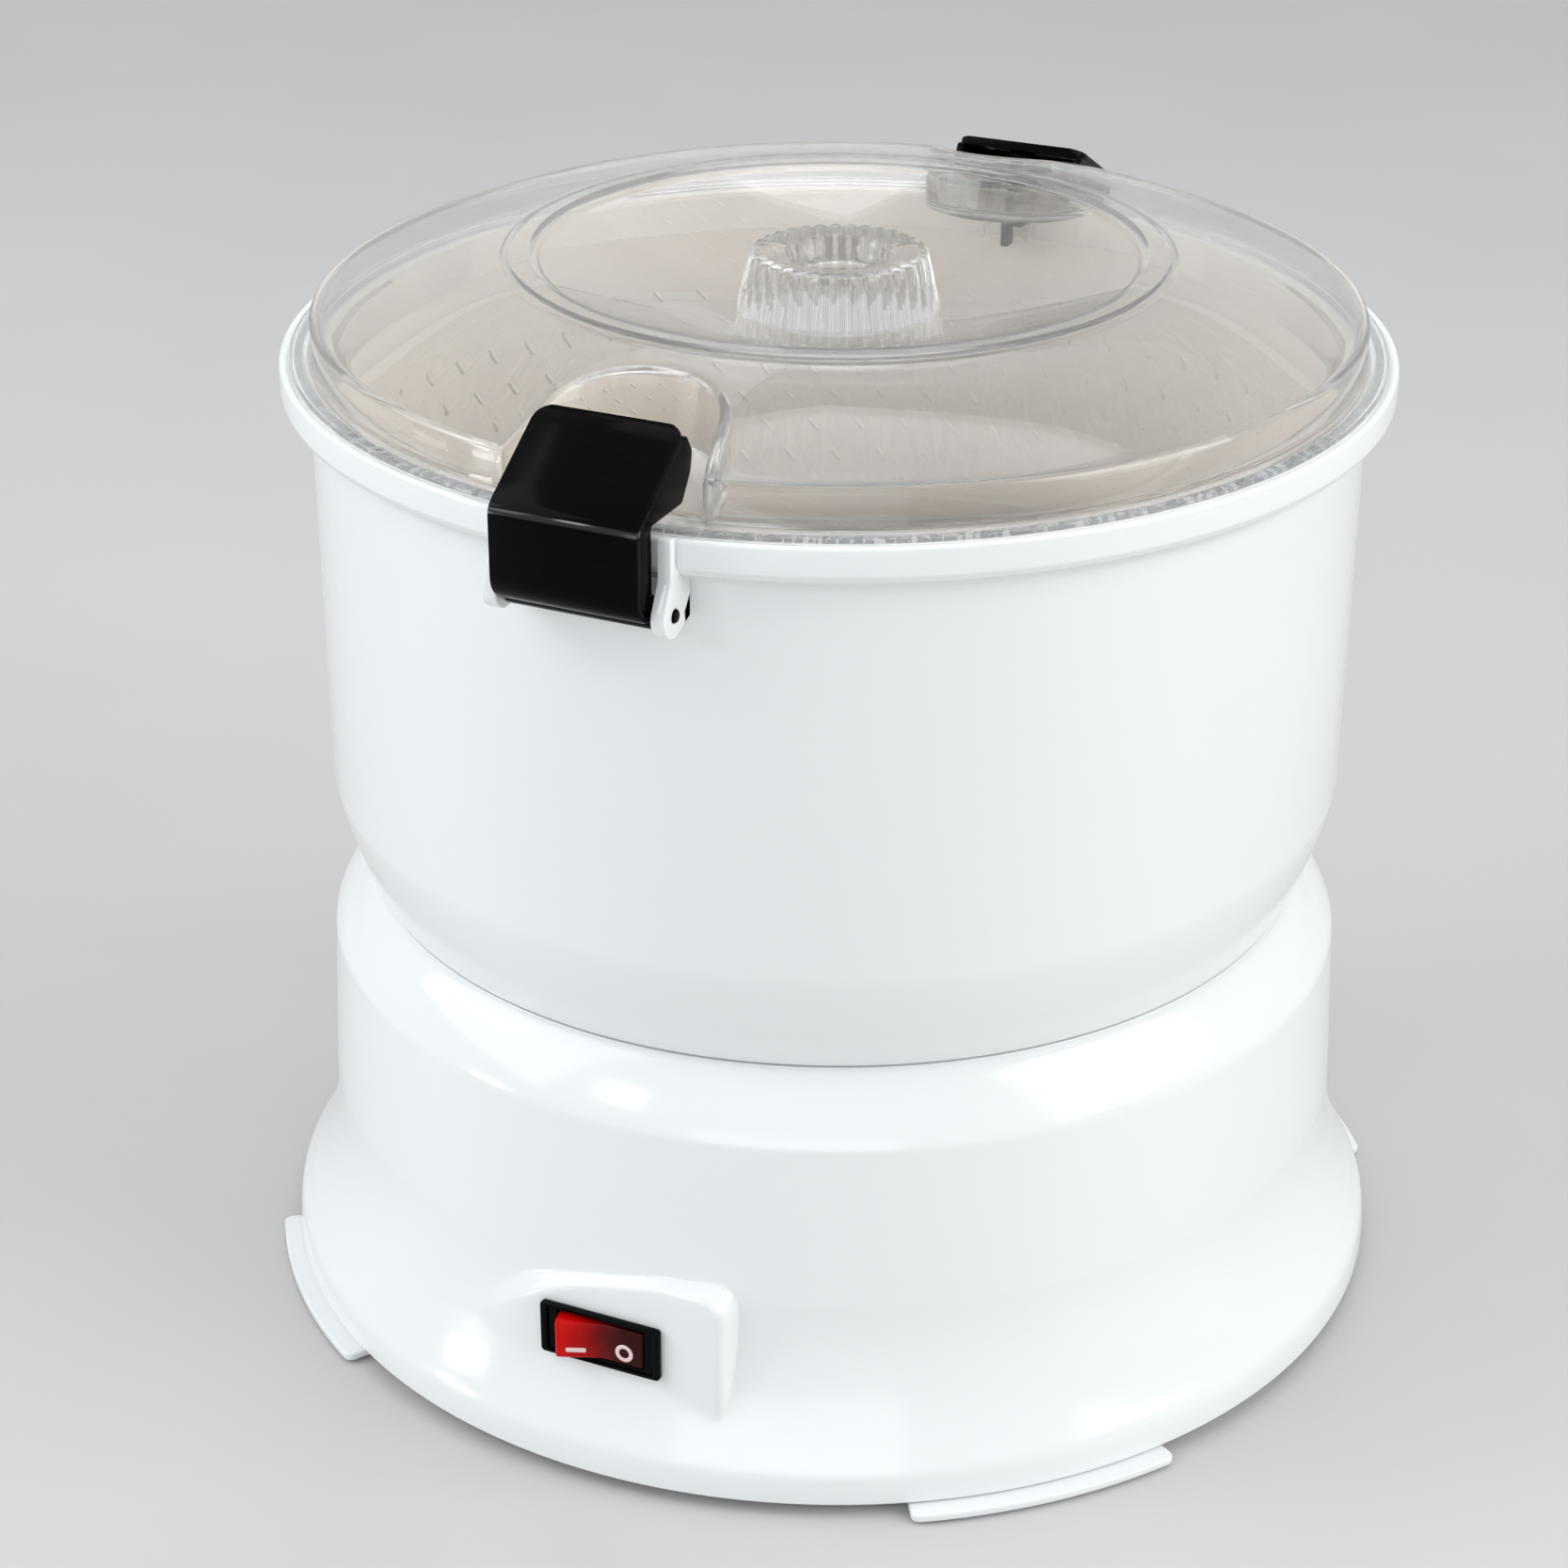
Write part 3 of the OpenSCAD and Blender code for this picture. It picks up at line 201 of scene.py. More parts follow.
POCKET_RUN = 33.5
KNOB_LOW = 246.2
KNOB_TOP = CREST_Z - 1
KNOB_LOW_R = 23.3
KNOB_TOP_R = 19.8
FLUTES = 34
FLUTE_DEEP = 1.75
FLUTE_POWER = 0.7
KEY_LOW_Z = 227.2
KEY_BAR_Z = 233.4
KEY_TOP_Z = 235.6

# latches and brackets
PIN_U = 132.1
PIN_Z = 223.5
PIN_R = 1.5
PIN_HOLE_R = 1.53
LATCH_HALF = 17.5
LATCH_T = 2.2
CURL_R = 6.7
CURL_Z = PIN_Z + 5.5
FOLD_U = 141.1
FOLD_Z = 244.6
TIP_U = 117.3
FRONT_TIP_Z = 259.8
REAR_TIP_DROP = 2.4
TIP_ROUND = 4.0
EAR_NEAR_X = 18.3
EAR_FAR_X = 21.7
EAR_FRONT_U = 133.7
EAR_TOP_Z = 241.0
EAR_LOBE_R = 5.1


# ---------------------------------------------------------------- node graphs

class Sum:
    """A socket that takes part in Python sums: each operator adds a Math node."""

    def __init__(self, graph, socket):
        self.graph = graph
        self.socket = socket

    def __add__(self, other):
        return self.graph.math("ADD", self, other)

    def __radd__(self, other):
        return self.graph.math("ADD", other, self)

    def __sub__(self, other):
        return self.graph.math("SUBTRACT", self, other)

    def __rsub__(self, other):
        return self.graph.math("SUBTRACT", other, self)

    def __mul__(self, other):
        return self.graph.math("MULTIPLY", self, other)

    def __rmul__(self, other):
        return self.graph.math("MULTIPLY", other, self)

    def __truediv__(self, other):
        return self.graph.math("DIVIDE", self, other)

    def __pow__(self, other):
        return self.graph.math("POWER", self, other)


class Graph:
    """Nodes of one material or one Geometry Nodes tree."""

    def __init__(self, tree):
        self.tree = tree

    def node(self, kind, settings=None, sockets=None):
        """A node of a kind: its settings go in first, then the values or links of its sockets."""
        made = self.tree.nodes.new(kind)
        for key, value in (settings or {}).items():
            setattr(made, key, value)
        for key, value in (sockets or {}).items():
            self.feed(made.inputs[key], value)
        return made

    def feed(self, target, value):
        """Sets a socket's value, or links it to another node's output."""
        if isinstance(value, Sum):
            value = value.socket
        if isinstance(value, bpy.types.NodeSocket):
            self.tree.links.new(value, target)
        elif isinstance(value, (tuple, list)) and target.type == "RGBA" and len(value) == 3:
            target.default_value = (*value, 1)
        else:
            target.default_value = value

    def math(self, operation, first, second=0.0):
        """A Math node."""
        made = self.node("ShaderNodeMath", {"operation": operation}, {0: first, 1: second})
        return Sum(self, made.outputs[0])

    def clamp(self, value, low=0.0, high=1.0):
        """The value, kept between two limits."""
        made = self.node("ShaderNodeClamp", None, {"Value": value, "Min": low, "Max": high})
        return Sum(self, made.outputs[0])

    def mix_colour(self, share, first, second):
        """The first colour at a share of 0 and the second at 1."""
        made = self.node("ShaderNodeMix", {"data_type": "RGBA"}, {"Factor": share, 6: first, 7: second})
        return made.outputs[2]


class Finish(Graph):
    """A material made of nodes, with the object's own coordinates to hand."""

    def __init__(self, name):
        self.material = bpy.data.materials.new(name)
        self.material.use_nodes = True
        super().__init__(self.material.node_tree)
        self.tree.nodes.clear()
        self.place = self.node("ShaderNodeTexCoord").outputs["Object"]

    def noise(self, size_mm, detail=3.0, rough=0.5, stretch=(1, 1, 1)):
        """Noise from 0 to 1 whose largest lumps are about size_mm across."""
        scaled = self.node("ShaderNodeMapping", {"vector_type": "POINT"},
                           {"Vector": self.place, "Scale": stretch})
        made = self.node("ShaderNodeTexNoise", None, {
            "Vector": scaled.outputs[0], "Scale": MM_PER_METRE / size_mm,
            "Detail": detail, "Roughness": rough})
        return Sum(self, made.outputs["Fac"])

    def cells(self, size_mm):
        """Distance from the middle of the nearest of many uneven cells."""
        made = self.node("ShaderNodeTexVoronoi", {"feature": "F1"},
                         {"Vector": self.place, "Scale": MM_PER_METRE / size_mm})
        return Sum(self, made.outputs["Distance"])

    def axes(self):
        """The three object coordinates, in metres."""
        parts = self.node("ShaderNodeSeparateXYZ", None, {0: self.place})
        return [Sum(self, socket) for socket in parts.outputs]

    def bump(self, height, depth_mm, strength=1.0, normal=None):
        """A normal from a height of 0 to 1, over another normal where one is given."""
        links = {"Height": height, "Distance": depth_mm * MM, "Strength": strength}
        if normal is not None:
            links["Normal"] = normal
        return self.node("ShaderNodeBump", None, links).outputs[0]

    def close(self, **sockets):
        """Ends the material with a Principled shader."""
        named = {key.replace("_", " "): value for key, value in sockets.items()}
        shader = self.node("ShaderNodeBsdfPrincipled", None, named)
        self.node("ShaderNodeOutputMaterial", None, {"Surface": shader.outputs[0]})
        return self.material


# ---------------------------------------------------------------- finishes

def moulded_white(name, colour, roughness, grain_mm=0.9, grain_depth=0.006):
    """Injection-moulded shell: a soft skin, faint flow marks and a slightly uneven gloss."""
    f = Finish(name)
    cloud = f.noise(70, 2.0)
    flow = f.noise(18, 3.0, 0.6, (1, 1, 0.25))
    warm = f.mix_colour(cloud, [c * 0.975 for c in colour], colour)
    tone = f.mix_colour(f.clamp((flow - 0.45) * 1.6) * 0.35, warm, [c * 0.985 for c in colour])
    skin = f.bump(f.noise(grain_mm, 2.0), grain_depth)
    wave = f.bump(f.noise(26, 1.0), 0.03, 0.6, skin)
    return f.close(Base_Color=tone, Roughness=roughness + (flow - 0.5) * 0.10, IOR=1.5,
                   Normal=wave, Specular_IOR_Level=0.5)


def polished_black(name, roughness=0.10, fold=False):
    """Polished black plastic with hairline scuffs; fold adds a brighter line where the latch bends."""
    f = Finish(name)
    gloss = 0.0
    if fold:
        bend_u = FOLD_U - 0.5
        bend_z = FOLD_Z - 0.7
        _, along, up = f.axes()
        off = f.math("ABSOLUTE", f.math("ABSOLUTE", along) * MM_PER_METRE - bend_u)
        rise = f.math("ABSOLUTE", up * MM_PER_METRE - bend_z)
        gloss = f.clamp((1.5 - off) * 2) * f.clamp((0.75 - rise) * 3) * 0.8
    scuff = f.noise(2.2, 4.0, 0.7, (0.12, 1, 1))
    haze = f.noise(14, 3.0)
    mark = f.clamp((scuff - 0.62) * 6)
    tone = f.mix_colour(mark * 0.25, (0.0015, 0.0015, 0.0016), (0.008, 0.008, 0.009))
    skin = f.bump(f.noise(0.8, 2.0), 0.002)
    return f.close(Base_Color=tone, Roughness=roughness + haze * 0.06 + mark * 0.10, IOR=1.38,
                   Normal=skin, Specular_IOR_Level=0.07, Coat_Weight=gloss, Coat_Roughness=0.12, Coat_IOR=1.6)


def matt_plastic(name, colour, roughness=0.5, grain_mm=0.35, depth=0.012, shine=0.5):
    """Plastic from a spark-eroded mould: a fine even grain."""
    f = Finish(name)
    grain = f.noise(grain_mm, 2.0)
    cloud = f.noise(22, 3.0)
    tone = f.mix_colour(cloud, [c * 0.86 for c in colour], [min(1, c * 1.10) for c in colour])
    return f.close(Base_Color=tone, Roughness=roughness + (grain - 0.5) * 0.14, IOR=1.5,
                   Normal=f.bump(grain, depth), Specular_IOR_Level=shine)


def soft_rubber(name, colour):
    """Rubber with a fine grain and patches of pale dust."""
    f = Finish(name)
    grain = f.noise(0.5, 3.0)
    dust = f.clamp((f.noise(9, 4.0) - 0.5) * 2.5)
    tone = f.mix_colour(dust * 0.35, colour, [c * 0.6 + 0.08 for c in colour])
    return f.close(Base_Color=tone, Roughness=0.72 + dust * 0.12, IOR=1.45, Normal=f.bump(grain, 0.02))


def metal(name, colour, roughness, stretch=(1, 1, 8), size_mm=0.7):
    """Drawn or ground metal: fine lines along one axis and a patchy sheen."""
    f = Finish(name)
    lines = f.noise(size_mm, 3.0, 0.7, stretch)
    patch = f.noise(9, 3.0)
    tone = f.mix_colour(patch, [c * 0.82 for c in colour], [min(1, c * 1.08) for c in colour])
    return f.close(Base_Color=tone, Metallic=1.0, Roughness=roughness + (lines - 0.5) * 0.16 + patch * 0.06,
                   Normal=f.bump(lines, 0.006))


def laminations(name):
    """Stacked sheet steel: a dark varnish line every half millimetre up the stack."""
    f = Finish(name)
    height = f.axes()[2]
    edge = f.math("PINGPONG", height * MM_PER_METRE, 0.25) * 4
    line = f.clamp((edge - 0.72) * 6)
    stain = f.noise(11, 4.0)
    tone = f.mix_colour(line, (0.36, 0.37, 0.40), (0.10, 0.10, 0.11))
    rust = f.mix_colour(f.clamp((stain - 0.58) * 3) * 0.4, tone, (0.24, 0.17, 0.12))
    return f.close(Base_Color=rust, Metallic=0.85, Roughness=0.42 + line * 0.3, Normal=f.bump(edge, 0.03))


def enamelled_wire(name):
    """Packed turns of enamelled copper wire."""
    f = Finish(name)
    x, y, z = f.axes()
    turn = f.math("PINGPONG", (x + y * 0.4 + z) * MM_PER_METRE, 0.4) * 2.5
    patch = f.noise(6, 3.0)
    tone = f.mix_colour(patch, (0.42, 0.14, 0.045), (0.66, 0.27, 0.10))
    return f.close(Base_Color=tone, Metallic=0.7, Roughness=0.3 + turn * 0.15, Normal=f.bump(turn, 0.12))


def gritty(name):
    """Bonded grit: sharp light and dark grains in a grey binder."""
    f = Finish(name)
    grain = f.cells(1.1)
    fine = f.noise(0.5, 3.0, 0.7)
    light = f.clamp((0.45 - grain) * 3)
    patch = f.noise(16, 3.0)
    tone = f.mix_colour(light, (0.20, 0.195, 0.185), (0.52, 0.51, 0.48))
    worn = f.mix_colour(patch * 0.5, tone, (0.40, 0.385, 0.35))
    rough = f.bump(grain + fine * 0.4, 0.5, 0.8)
    return f.close(Base_Color=worn, Roughness=0.82 - light * 0.15, Normal=rough)


def clear_plastic(name):
    """Clear polystyrene: glass to the eye, while lamps shine through it as through a thin window."""
    f = Finish(name)
    wipe = f.noise(30, 3.0, 0.6, (1, 0.35, 1))
    faint = f.clamp((wipe - 0.5) * 2)
    skin = f.bump(f.noise(34, 1.0), 0.02, 0.5)
    glass = f.node("ShaderNodeBsdfPrincipled", None, {
        "Base Color": (0.985, 0.99, 0.99), "Roughness": 0.012 + faint * 0.03, "IOR": 1.45,
        "Transmission Weight": 1.0, "Alpha": 0.80, "Normal": skin})
    thin = f.node("ShaderNodeBsdfTransparent", None, {"Color": (0.94, 0.945, 0.945)})
    ray = f.node("ShaderNodeLightPath").outputs["Is Shadow Ray"]
    both = f.node("ShaderNodeMixShader", None, {0: ray, 1: glass.outputs[0], 2: thin.outputs[0]})
    f.node("ShaderNodeOutputMaterial", None, {"Surface": both.outputs[0]})
    return f.material


def red_with_painted_light(name):
    """Translucent red switch cap with painted light: its base colour is painted bright red at the I end and
    deeper towards the O.
    """
    f = Finish(name)
    cloud = f.noise(7, 2.0)
    # painted light: this mask brightens the base colour from the O end to the I end
    end = f.clamp(0.45 - f.axes()[0] * 70 + (cloud - 0.5) * 0.5)
    tone = f.mix_colour(end ** 1.6, (0.030, 0.0012, 0.0015), (0.56, 0.0015, 0.0012))
    skin = f.bump(f.noise(0.7, 2.0), 0.003)
    return f.close(Base_Color=tone, Roughness=0.22 + cloud * 0.05, IOR=1.45, Normal=skin,
                   Specular_IOR_Level=0.16)


SHELL_WHITE = moulded_white("shell_white", (0.815, 0.842, 0.848), 0.13)
PLATE_WHITE = moulded_white("plate_white", (0.815, 0.842, 0.848), 0.30)
# painted reflection: the liner is coloured darker and warmer than the shell, standing in for the potatoes it
# reflects in the real bowl
LINER_PAINTED_WARM = moulded_white("liner_painted_warm", (0.705, 0.645, 0.585), 0.38, 0.5, 0.012)
LATCH_BLACK = polished_black("latch_black", fold=True)
PIN_BLACK = polished_black("pin_black", 0.28)
SWITCH_BLACK = matt_plastic("switch_black", (0.002, 0.0025, 0.003), 0.30, 0.3, 0.006, 0.05)
HOLDER_BLACK = matt_plastic("holder_black", (0.030, 0.030, 0.033), 0.55)
ROCKER_RED = red_with_painted_light("rocker_red")
MARK_WHITE = matt_plastic("mark_white", (0.80, 0.60, 0.60), 0.35, 0.3, 0.003)
CLEAR = clear_plastic("clear_lid")
GASKET_GREY = soft_rubber("gasket_grey", (0.78, 0.79, 0.80))
FOOT_RUBBER = soft_rubber("foot_rubber", (0.030, 0.030, 0.032))
SEAL_RUBBER = soft_rubber("seal_rubber", (0.022, 0.022, 0.024))
GRIT = gritty("grit")
DISC_PLASTIC = matt_plastic("disc_plastic", (0.66, 0.67, 0.68), 0.42)
GEAR_NYLON = matt_plastic("gear_nylon", (0.66, 0.63, 0.53), 0.40)
CASE_GREY = matt_plastic("case_grey", (0.16, 0.165, 0.175), 0.50)
STEEL = metal("ground_steel", (0.62, 0.63, 0.65), 0.26)
SCREW_STEEL = metal("screw_steel", (0.56, 0.57, 0.60), 0.34, (1, 1, 1), 1.2)
ZINC = metal("zinc_plate", (0.66, 0.67, 0.66), 0.38, (1, 6, 1), 1.4)
BRONZE = metal("sintered_bronze", (0.52, 0.34, 0.17), 0.46, (1, 1, 1), 0.4)
BRASS = metal("drawn_brass", (0.72, 0.55, 0.24), 0.24)
COPPER_BARS = metal("copper_bars", (0.72, 0.36, 0.20), 0.25, (1, 1, 6), 0.8)
WIRE = enamelled_wire("enamelled_wire")
SHEETS = laminations("laminations")
CARBON = matt_plastic("carbon", (0.035, 0.035, 0.037), 0.62, 0.4, 0.02)


# ---------------------------------------------------------------- mesh code, in millimetres

def make_object(name, verts, faces, material, sharp=32):
    """A mesh object at the origin from millimetre points, smooth but for edges above sharp degrees."""
    mesh = bpy.data.meshes.new(name)
    mesh.from_pydata([(x * MM, y * MM, z * MM) for x, y, z in verts], [], faces)
    mesh.update()
    work = bmesh.new()
    work.from_mesh(mesh)
    bmesh.ops.remove_doubles(work, verts=work.verts, dist=MERGE_GAP)
    bmesh.ops.recalc_face_normals(work, faces=work.faces)
    work.to_mesh(mesh)
    work.free()
    mesh.polygons.foreach_set("use_smooth", [True] * len(mesh.polygons))
    mesh.set_sharp_from_angle(angle=math.radians(sharp))
    mesh.materials.append(material)
    made = bpy.data.objects.new(name, mesh)
    scene.collection.objects.link(made)
    return made


def join(name, pieces):
    """Several meshes as one piece; a piece's own materials stay with its faces."""
    work = bmesh.new()
    slots = []
    for piece in pieces:
        start = len(work.faces)
        work.from_mesh(piece.data)
        work.faces.ensure_lookup_table()
        own = list(piece.data.materials)
        for face in work.faces[start:]:
            material = own[face.material_index]
            if material not in slots:
                slots.append(material)
            face.material_index = slots.index(material)
    mesh = bpy.data.meshes.new(name)
    work.to_mesh(mesh)
    work.free()
    for material in slots:
        mesh.materials.append(material)
    for piece in pieces:
        bpy.data.objects.remove(piece)
    made = bpy.data.objects.new(name, mesh)
    scene.collection.objects.link(made)
    return made


def bend(points, steps=5):
    """A closed line of (a, b, radius) corners with each corner rounded to its radius."""
    most = 0.49
    straight = math.pi - 0.02
    line = []
    count = len(points)
    for i, (a, b, radius) in enumerate(points):
        here = Vector((a, b))
        back = Vector(points[i - 1][:2]) - here
        ahead = Vector(points[(i + 1) % count][:2]) - here
        if radius <= 0 or back.length < 1e-6 or ahead.length < 1e-6:
            line.append((a, b))
            continue
        back_dir = back.normalized()
        ahead_dir = ahead.normalized()
        opening = back_dir.angle(ahead_dir)
        if opening > straight:
            line.append((a, b))
            continue
        reach = min(radius / math.tan(opening / 2), back.length * most, ahead.length * most)
        radius = reach * math.tan(opening / 2)
        middle = here + (back_dir + ahead_dir).normalized() * (radius / math.sin(opening / 2))
        first = here + back_dir * reach - middle
        last = here + ahead_dir * reach - middle
        swing = first.angle_signed(last)
        for k in range(steps + 1):
            turn = -swing * k / steps
            line.append((middle.x + first.x * math.cos(turn) - first.y * math.sin(turn),
                         middle.y + first.x * math.sin(turn) + first.y * math.cos(turn)))
    return line


def block(a1, b1, a2, b2, radius, steps=3):
    """A rounded rectangle from one corner to the opposite one."""
    return bend([(a1, b1, radius), (a2, b1, radius), (a2, b2, radius), (a1, b2, radius)], steps)


def circle(a, b, radius, count=32, clockwise=False):
    """A round loop; clockwise for a hole."""
    sign = -1 if clockwise else 1
    turns = [sign * TURN * k / count for k in range(count)]
    return [(a + radius * math.cos(turn), b + radius * math.sin(turn)) for turn in turns]


def arc(radius, turns, corner=0, middle=(0.0, 0.0)):
    """Points on a circle as (a, b, corner), ready for bend."""
    return [(middle[0] + radius * math.cos(turn), middle[1] + radius * math.sin(turn), corner)
            for turn in turns]


def divided(loop, step):
    """The loop with more points along its longer sides, about step apart."""
    dense = []
    for i, (a, b) in enumerate(loop):
        from_a, from_b = loop[i - 1]
        count = max(1, round(math.dist((a, b), (from_a, from_b)) / step))
        for k in range(1, count + 1):
            dense.append((from_a + (a - from_a) * k / count, from_b + (b - from_b) * k / count))
    return dense


def turned(a, b, turn):
    """A point of a drawing, turned about the drawing's middle."""
    return (a * math.cos(turn) - b * math.sin(turn), a * math.sin(turn) + b * math.cos(turn))


def area(loop):
    """Twice a loop's area, above 0 where it runs anticlockwise."""
    return sum(loop[i - 1][0] * loop[i][1] - loop[i][0] * loop[i - 1][1] for i in range(len(loop)))


def wound(loop, way=1):
    """The loop, run anticlockwise, or clockwise where way is -1."""
    return loop if area(loop) * way > 0 else loop[::-1]


def spread(low, high, step):
    """Even values from low to high, about step apart."""
    count = max(1, round((high - low) / step))
    return [low + (high - low) * k / count for k in range(count + 1)]


def ring(radius, steps, z=0.0):
    """Points round the Z axis at one height."""
    turns = [TURN * k / steps for k in range(steps)]
    return [(radius * math.cos(turn), radius * math.sin(turn), z) for turn in turns]


def band(low, high, steps):
    """Faces between two rings of points, given by the number of each ring's first point."""
    faces = []
    for k in range(steps):
        n = (k + 1) % steps
        faces.append((low + k, low + n, high + n, high + k))
    return faces


def closed_bands(count, steps):
    """Faces between rings of points, one to the next and from the last back to the first."""
    faces = []
    starts = list(range(0, count, steps)) + [0]
    for low, high in zip(starts, starts[1:]):
        faces += band(low, high, steps)
    return faces


def as_drawn(a, b, h):
    """Leaves a drawing level, with its thickness upwards."""
    return (a, b, h)


def along_x(a, b, h):
    """Places a drawing of (distance towards +Y, height) so that its thickness runs along X."""
    return (h, a, b)


def facing_front(a, b, h):
    """Places a drawing of (X, height) so that its thickness runs out of the front."""
    return (a, -h, b)


def on_hinge(x, y, z):
    """Lays a turned piece along X at the hinge of the rear latch."""
    return (z, x + PIN_U, y + PIN_Z)


def through_rear(x, y, z):
    """Lays a turned piece along Y at the cord gland."""
    return (x, z, y + CORD_Z)


def inset(loop, reach):
    """A closed loop moved to its left by reach along each corner's bisector, at most twice as far."""
    moved = []
    count = len(loop)
    for i in range(count):
        here = Vector(loop[i])
        back = (here - Vector(loop[i - 1])).normalized()
        ahead = (Vector(loop[(i + 1) % count]) - here).normalized()
        left = Vector((-(back.y + ahead.y), back.x + ahead.x))
        if left.length < 1e-9:
            left = Vector((-ahead.y, ahead.x))
        left.normalize()
        share = max(0.5, left.dot(Vector((-ahead.y, ahead.x))))
        moved.append(tuple(here + left * (reach / share)))
    return moved


def covered(loops, x, y):
    """True if the point is inside an odd number of the loops."""
    inside = False
    for loop in loops:
        for i in range(len(loop)):
            x1, y1 = loop[i - 1]
            x2, y2 = loop[i]
            if (y1 > y) != (y2 > y) and x < (x2 - x1) * (y - y1) / (y2 - y1) + x1:
                inside = not inside
    return inside


def fill(loops, extra=()):
    """Triangles over the area between the loops, through the extra points as well."""
    points = []
    edges = []
    for loop in loops:
        start = len(points)
        points += [Vector(p) for p in loop]
        edges += [(start + i, start + (i + 1) % len(loop)) for i in range(len(loop))]
    points += [Vector(p) for p in extra]
    found, _, tris, _, _, _ = delaunay_2d_cdt(points, edges, [], 0, 1e-5)
    kept = []
    for tri in tris:
        x = sum(found[i].x for i in tri) / 3
        y = sum(found[i].y for i in tri) / 3
        if covered(loops, x, y):
            kept.append(tuple(tri))
    return [tuple(p) for p in found], kept


def plate(name, loops, low, high, edge, material, place=as_drawn, sharp=32, steps=3):
    """A plate between two levels with rounded edges. The first loop runs anticlockwise, holes clockwise."""
    verts = []
    faces = []
    levels = []
    for k in range(steps + 1):
        turn = math.pi / 2 * k / steps
        levels.append((edge * (1 - math.sin(turn)), low + edge * (1 - math.cos(turn))))
    if edge <= 0:
        levels = [(0, low)]
    levels = levels + [(reach, low + high - level) for reach, level in reversed(levels)]
    for loop in loops:
        start = len(verts)
        count = len(loop)
        for reach, level in levels:
            verts += [place(a, b, level) for a, b in (inset(loop, reach) if reach else loop)]
        for row in range(len(levels) - 1):
            faces += band(start + row * count, start + (row + 1) * count, count)
    for reach, level in (levels[0], levels[-1]):
        rims = [inset(loop, reach) if reach else loop for loop in loops]
        flat, tris = fill(rims)
        start = len(verts)
        verts += [place(a, b, level) for a, b in flat]
        faces += [tuple(start + i for i in tri) for tri in tris]
    return make_object(name, verts, faces, material, sharp)


def lathe(name, line, material, steps=192, sharp=32, closed=True, place=as_drawn):
    """A body of revolution from a line of (radius, height) points, round the Z axis."""
    verts = []
    for r, z in line:
        verts += [place(x, y, z) for x, y, z in ring(r, steps, z)]
    faces = []
    count = len(line)
    for i in range(count if closed else count - 1):
        j = (i + 1) % count
        low = i * steps
        high = j * steps
        low_tip = line[i][0] < 1e-6
        high_tip = line[j][0] < 1e-6
        if low_tip and high_tip:
            continue
        for corners in band(low, high, steps):
            if low_tip:
                faces.append((low, corners[2], corners[3]))
            elif high_tip:
                faces.append((corners[0], corners[1], high))
            else:
                faces.append(corners)
    return make_object(name, verts, faces, material, sharp)


def sweep(name, path, widths, thickness, material, edge, sharp):
    """A bent strip across X: path points (distance towards +Y, height), a half width at each."""
    section = []
    for sx, st in ((1, 1), (-1, 1), (-1, -1), (1, -1)):
        for k in range(3):
            turn = math.pi / 4 * k if sx * st > 0 else math.pi / 4 * (2 - k)
            section.append((sx, -edge + edge * math.cos(turn), st, -edge + edge * math.sin(turn)))
    verts = []
    count = len(path)
    for i, (u, z) in enumerate(path):
        back = Vector(path[max(i - 1, 0)])
        ahead = Vector(path[min(i + 1, count - 1)])
        run = (ahead - back).normalized()
        side = Vector((-run.y, run.x))
        for sx, dx, st, dt in section:
            half = widths[i] + dx
            lift = (thickness / 2 + dt) * st
            verts.append((sx * half, u + side.x * lift, z + side.y * lift))
    size = len(section)
    faces = []
    for i in range(count - 1):
        faces += band(i * size, (i + 1) * size, size)
    faces.append(tuple(range(size)))
    faces.append(tuple((count - 1) * size + k for k in range(size)))
    return make_object(name, verts, faces, material, sharp)


def cut(made, cutter, sharp=35):
    """Takes the cutter's shape out of a closed piece; the cutter goes."""
    modifier = made.modifiers.new("cut", "BOOLEAN")
    modifier.operation = "DIFFERENCE"
    modifier.solver = "EXACT"
    modifier.object = cutter
    bpy.context.view_layer.update()
    mesh = bpy.data.meshes.new_from_object(made.evaluated_get(bpy.context.evaluated_depsgraph_get()))
    made.modifiers.remove(modifier)
    made.data = mesh
    bpy.data.objects.remove(cutter)
    mesh.set_sharp_from_angle(angle=math.radians(sharp))


def half_turn(made):
    """Turns a piece's mesh from the rear to the front."""
    made.data.transform(Matrix.Rotation(math.pi, 4, "Z"))
    return made


# ---------------------------------------------------------------- repeats by Geometry Nodes

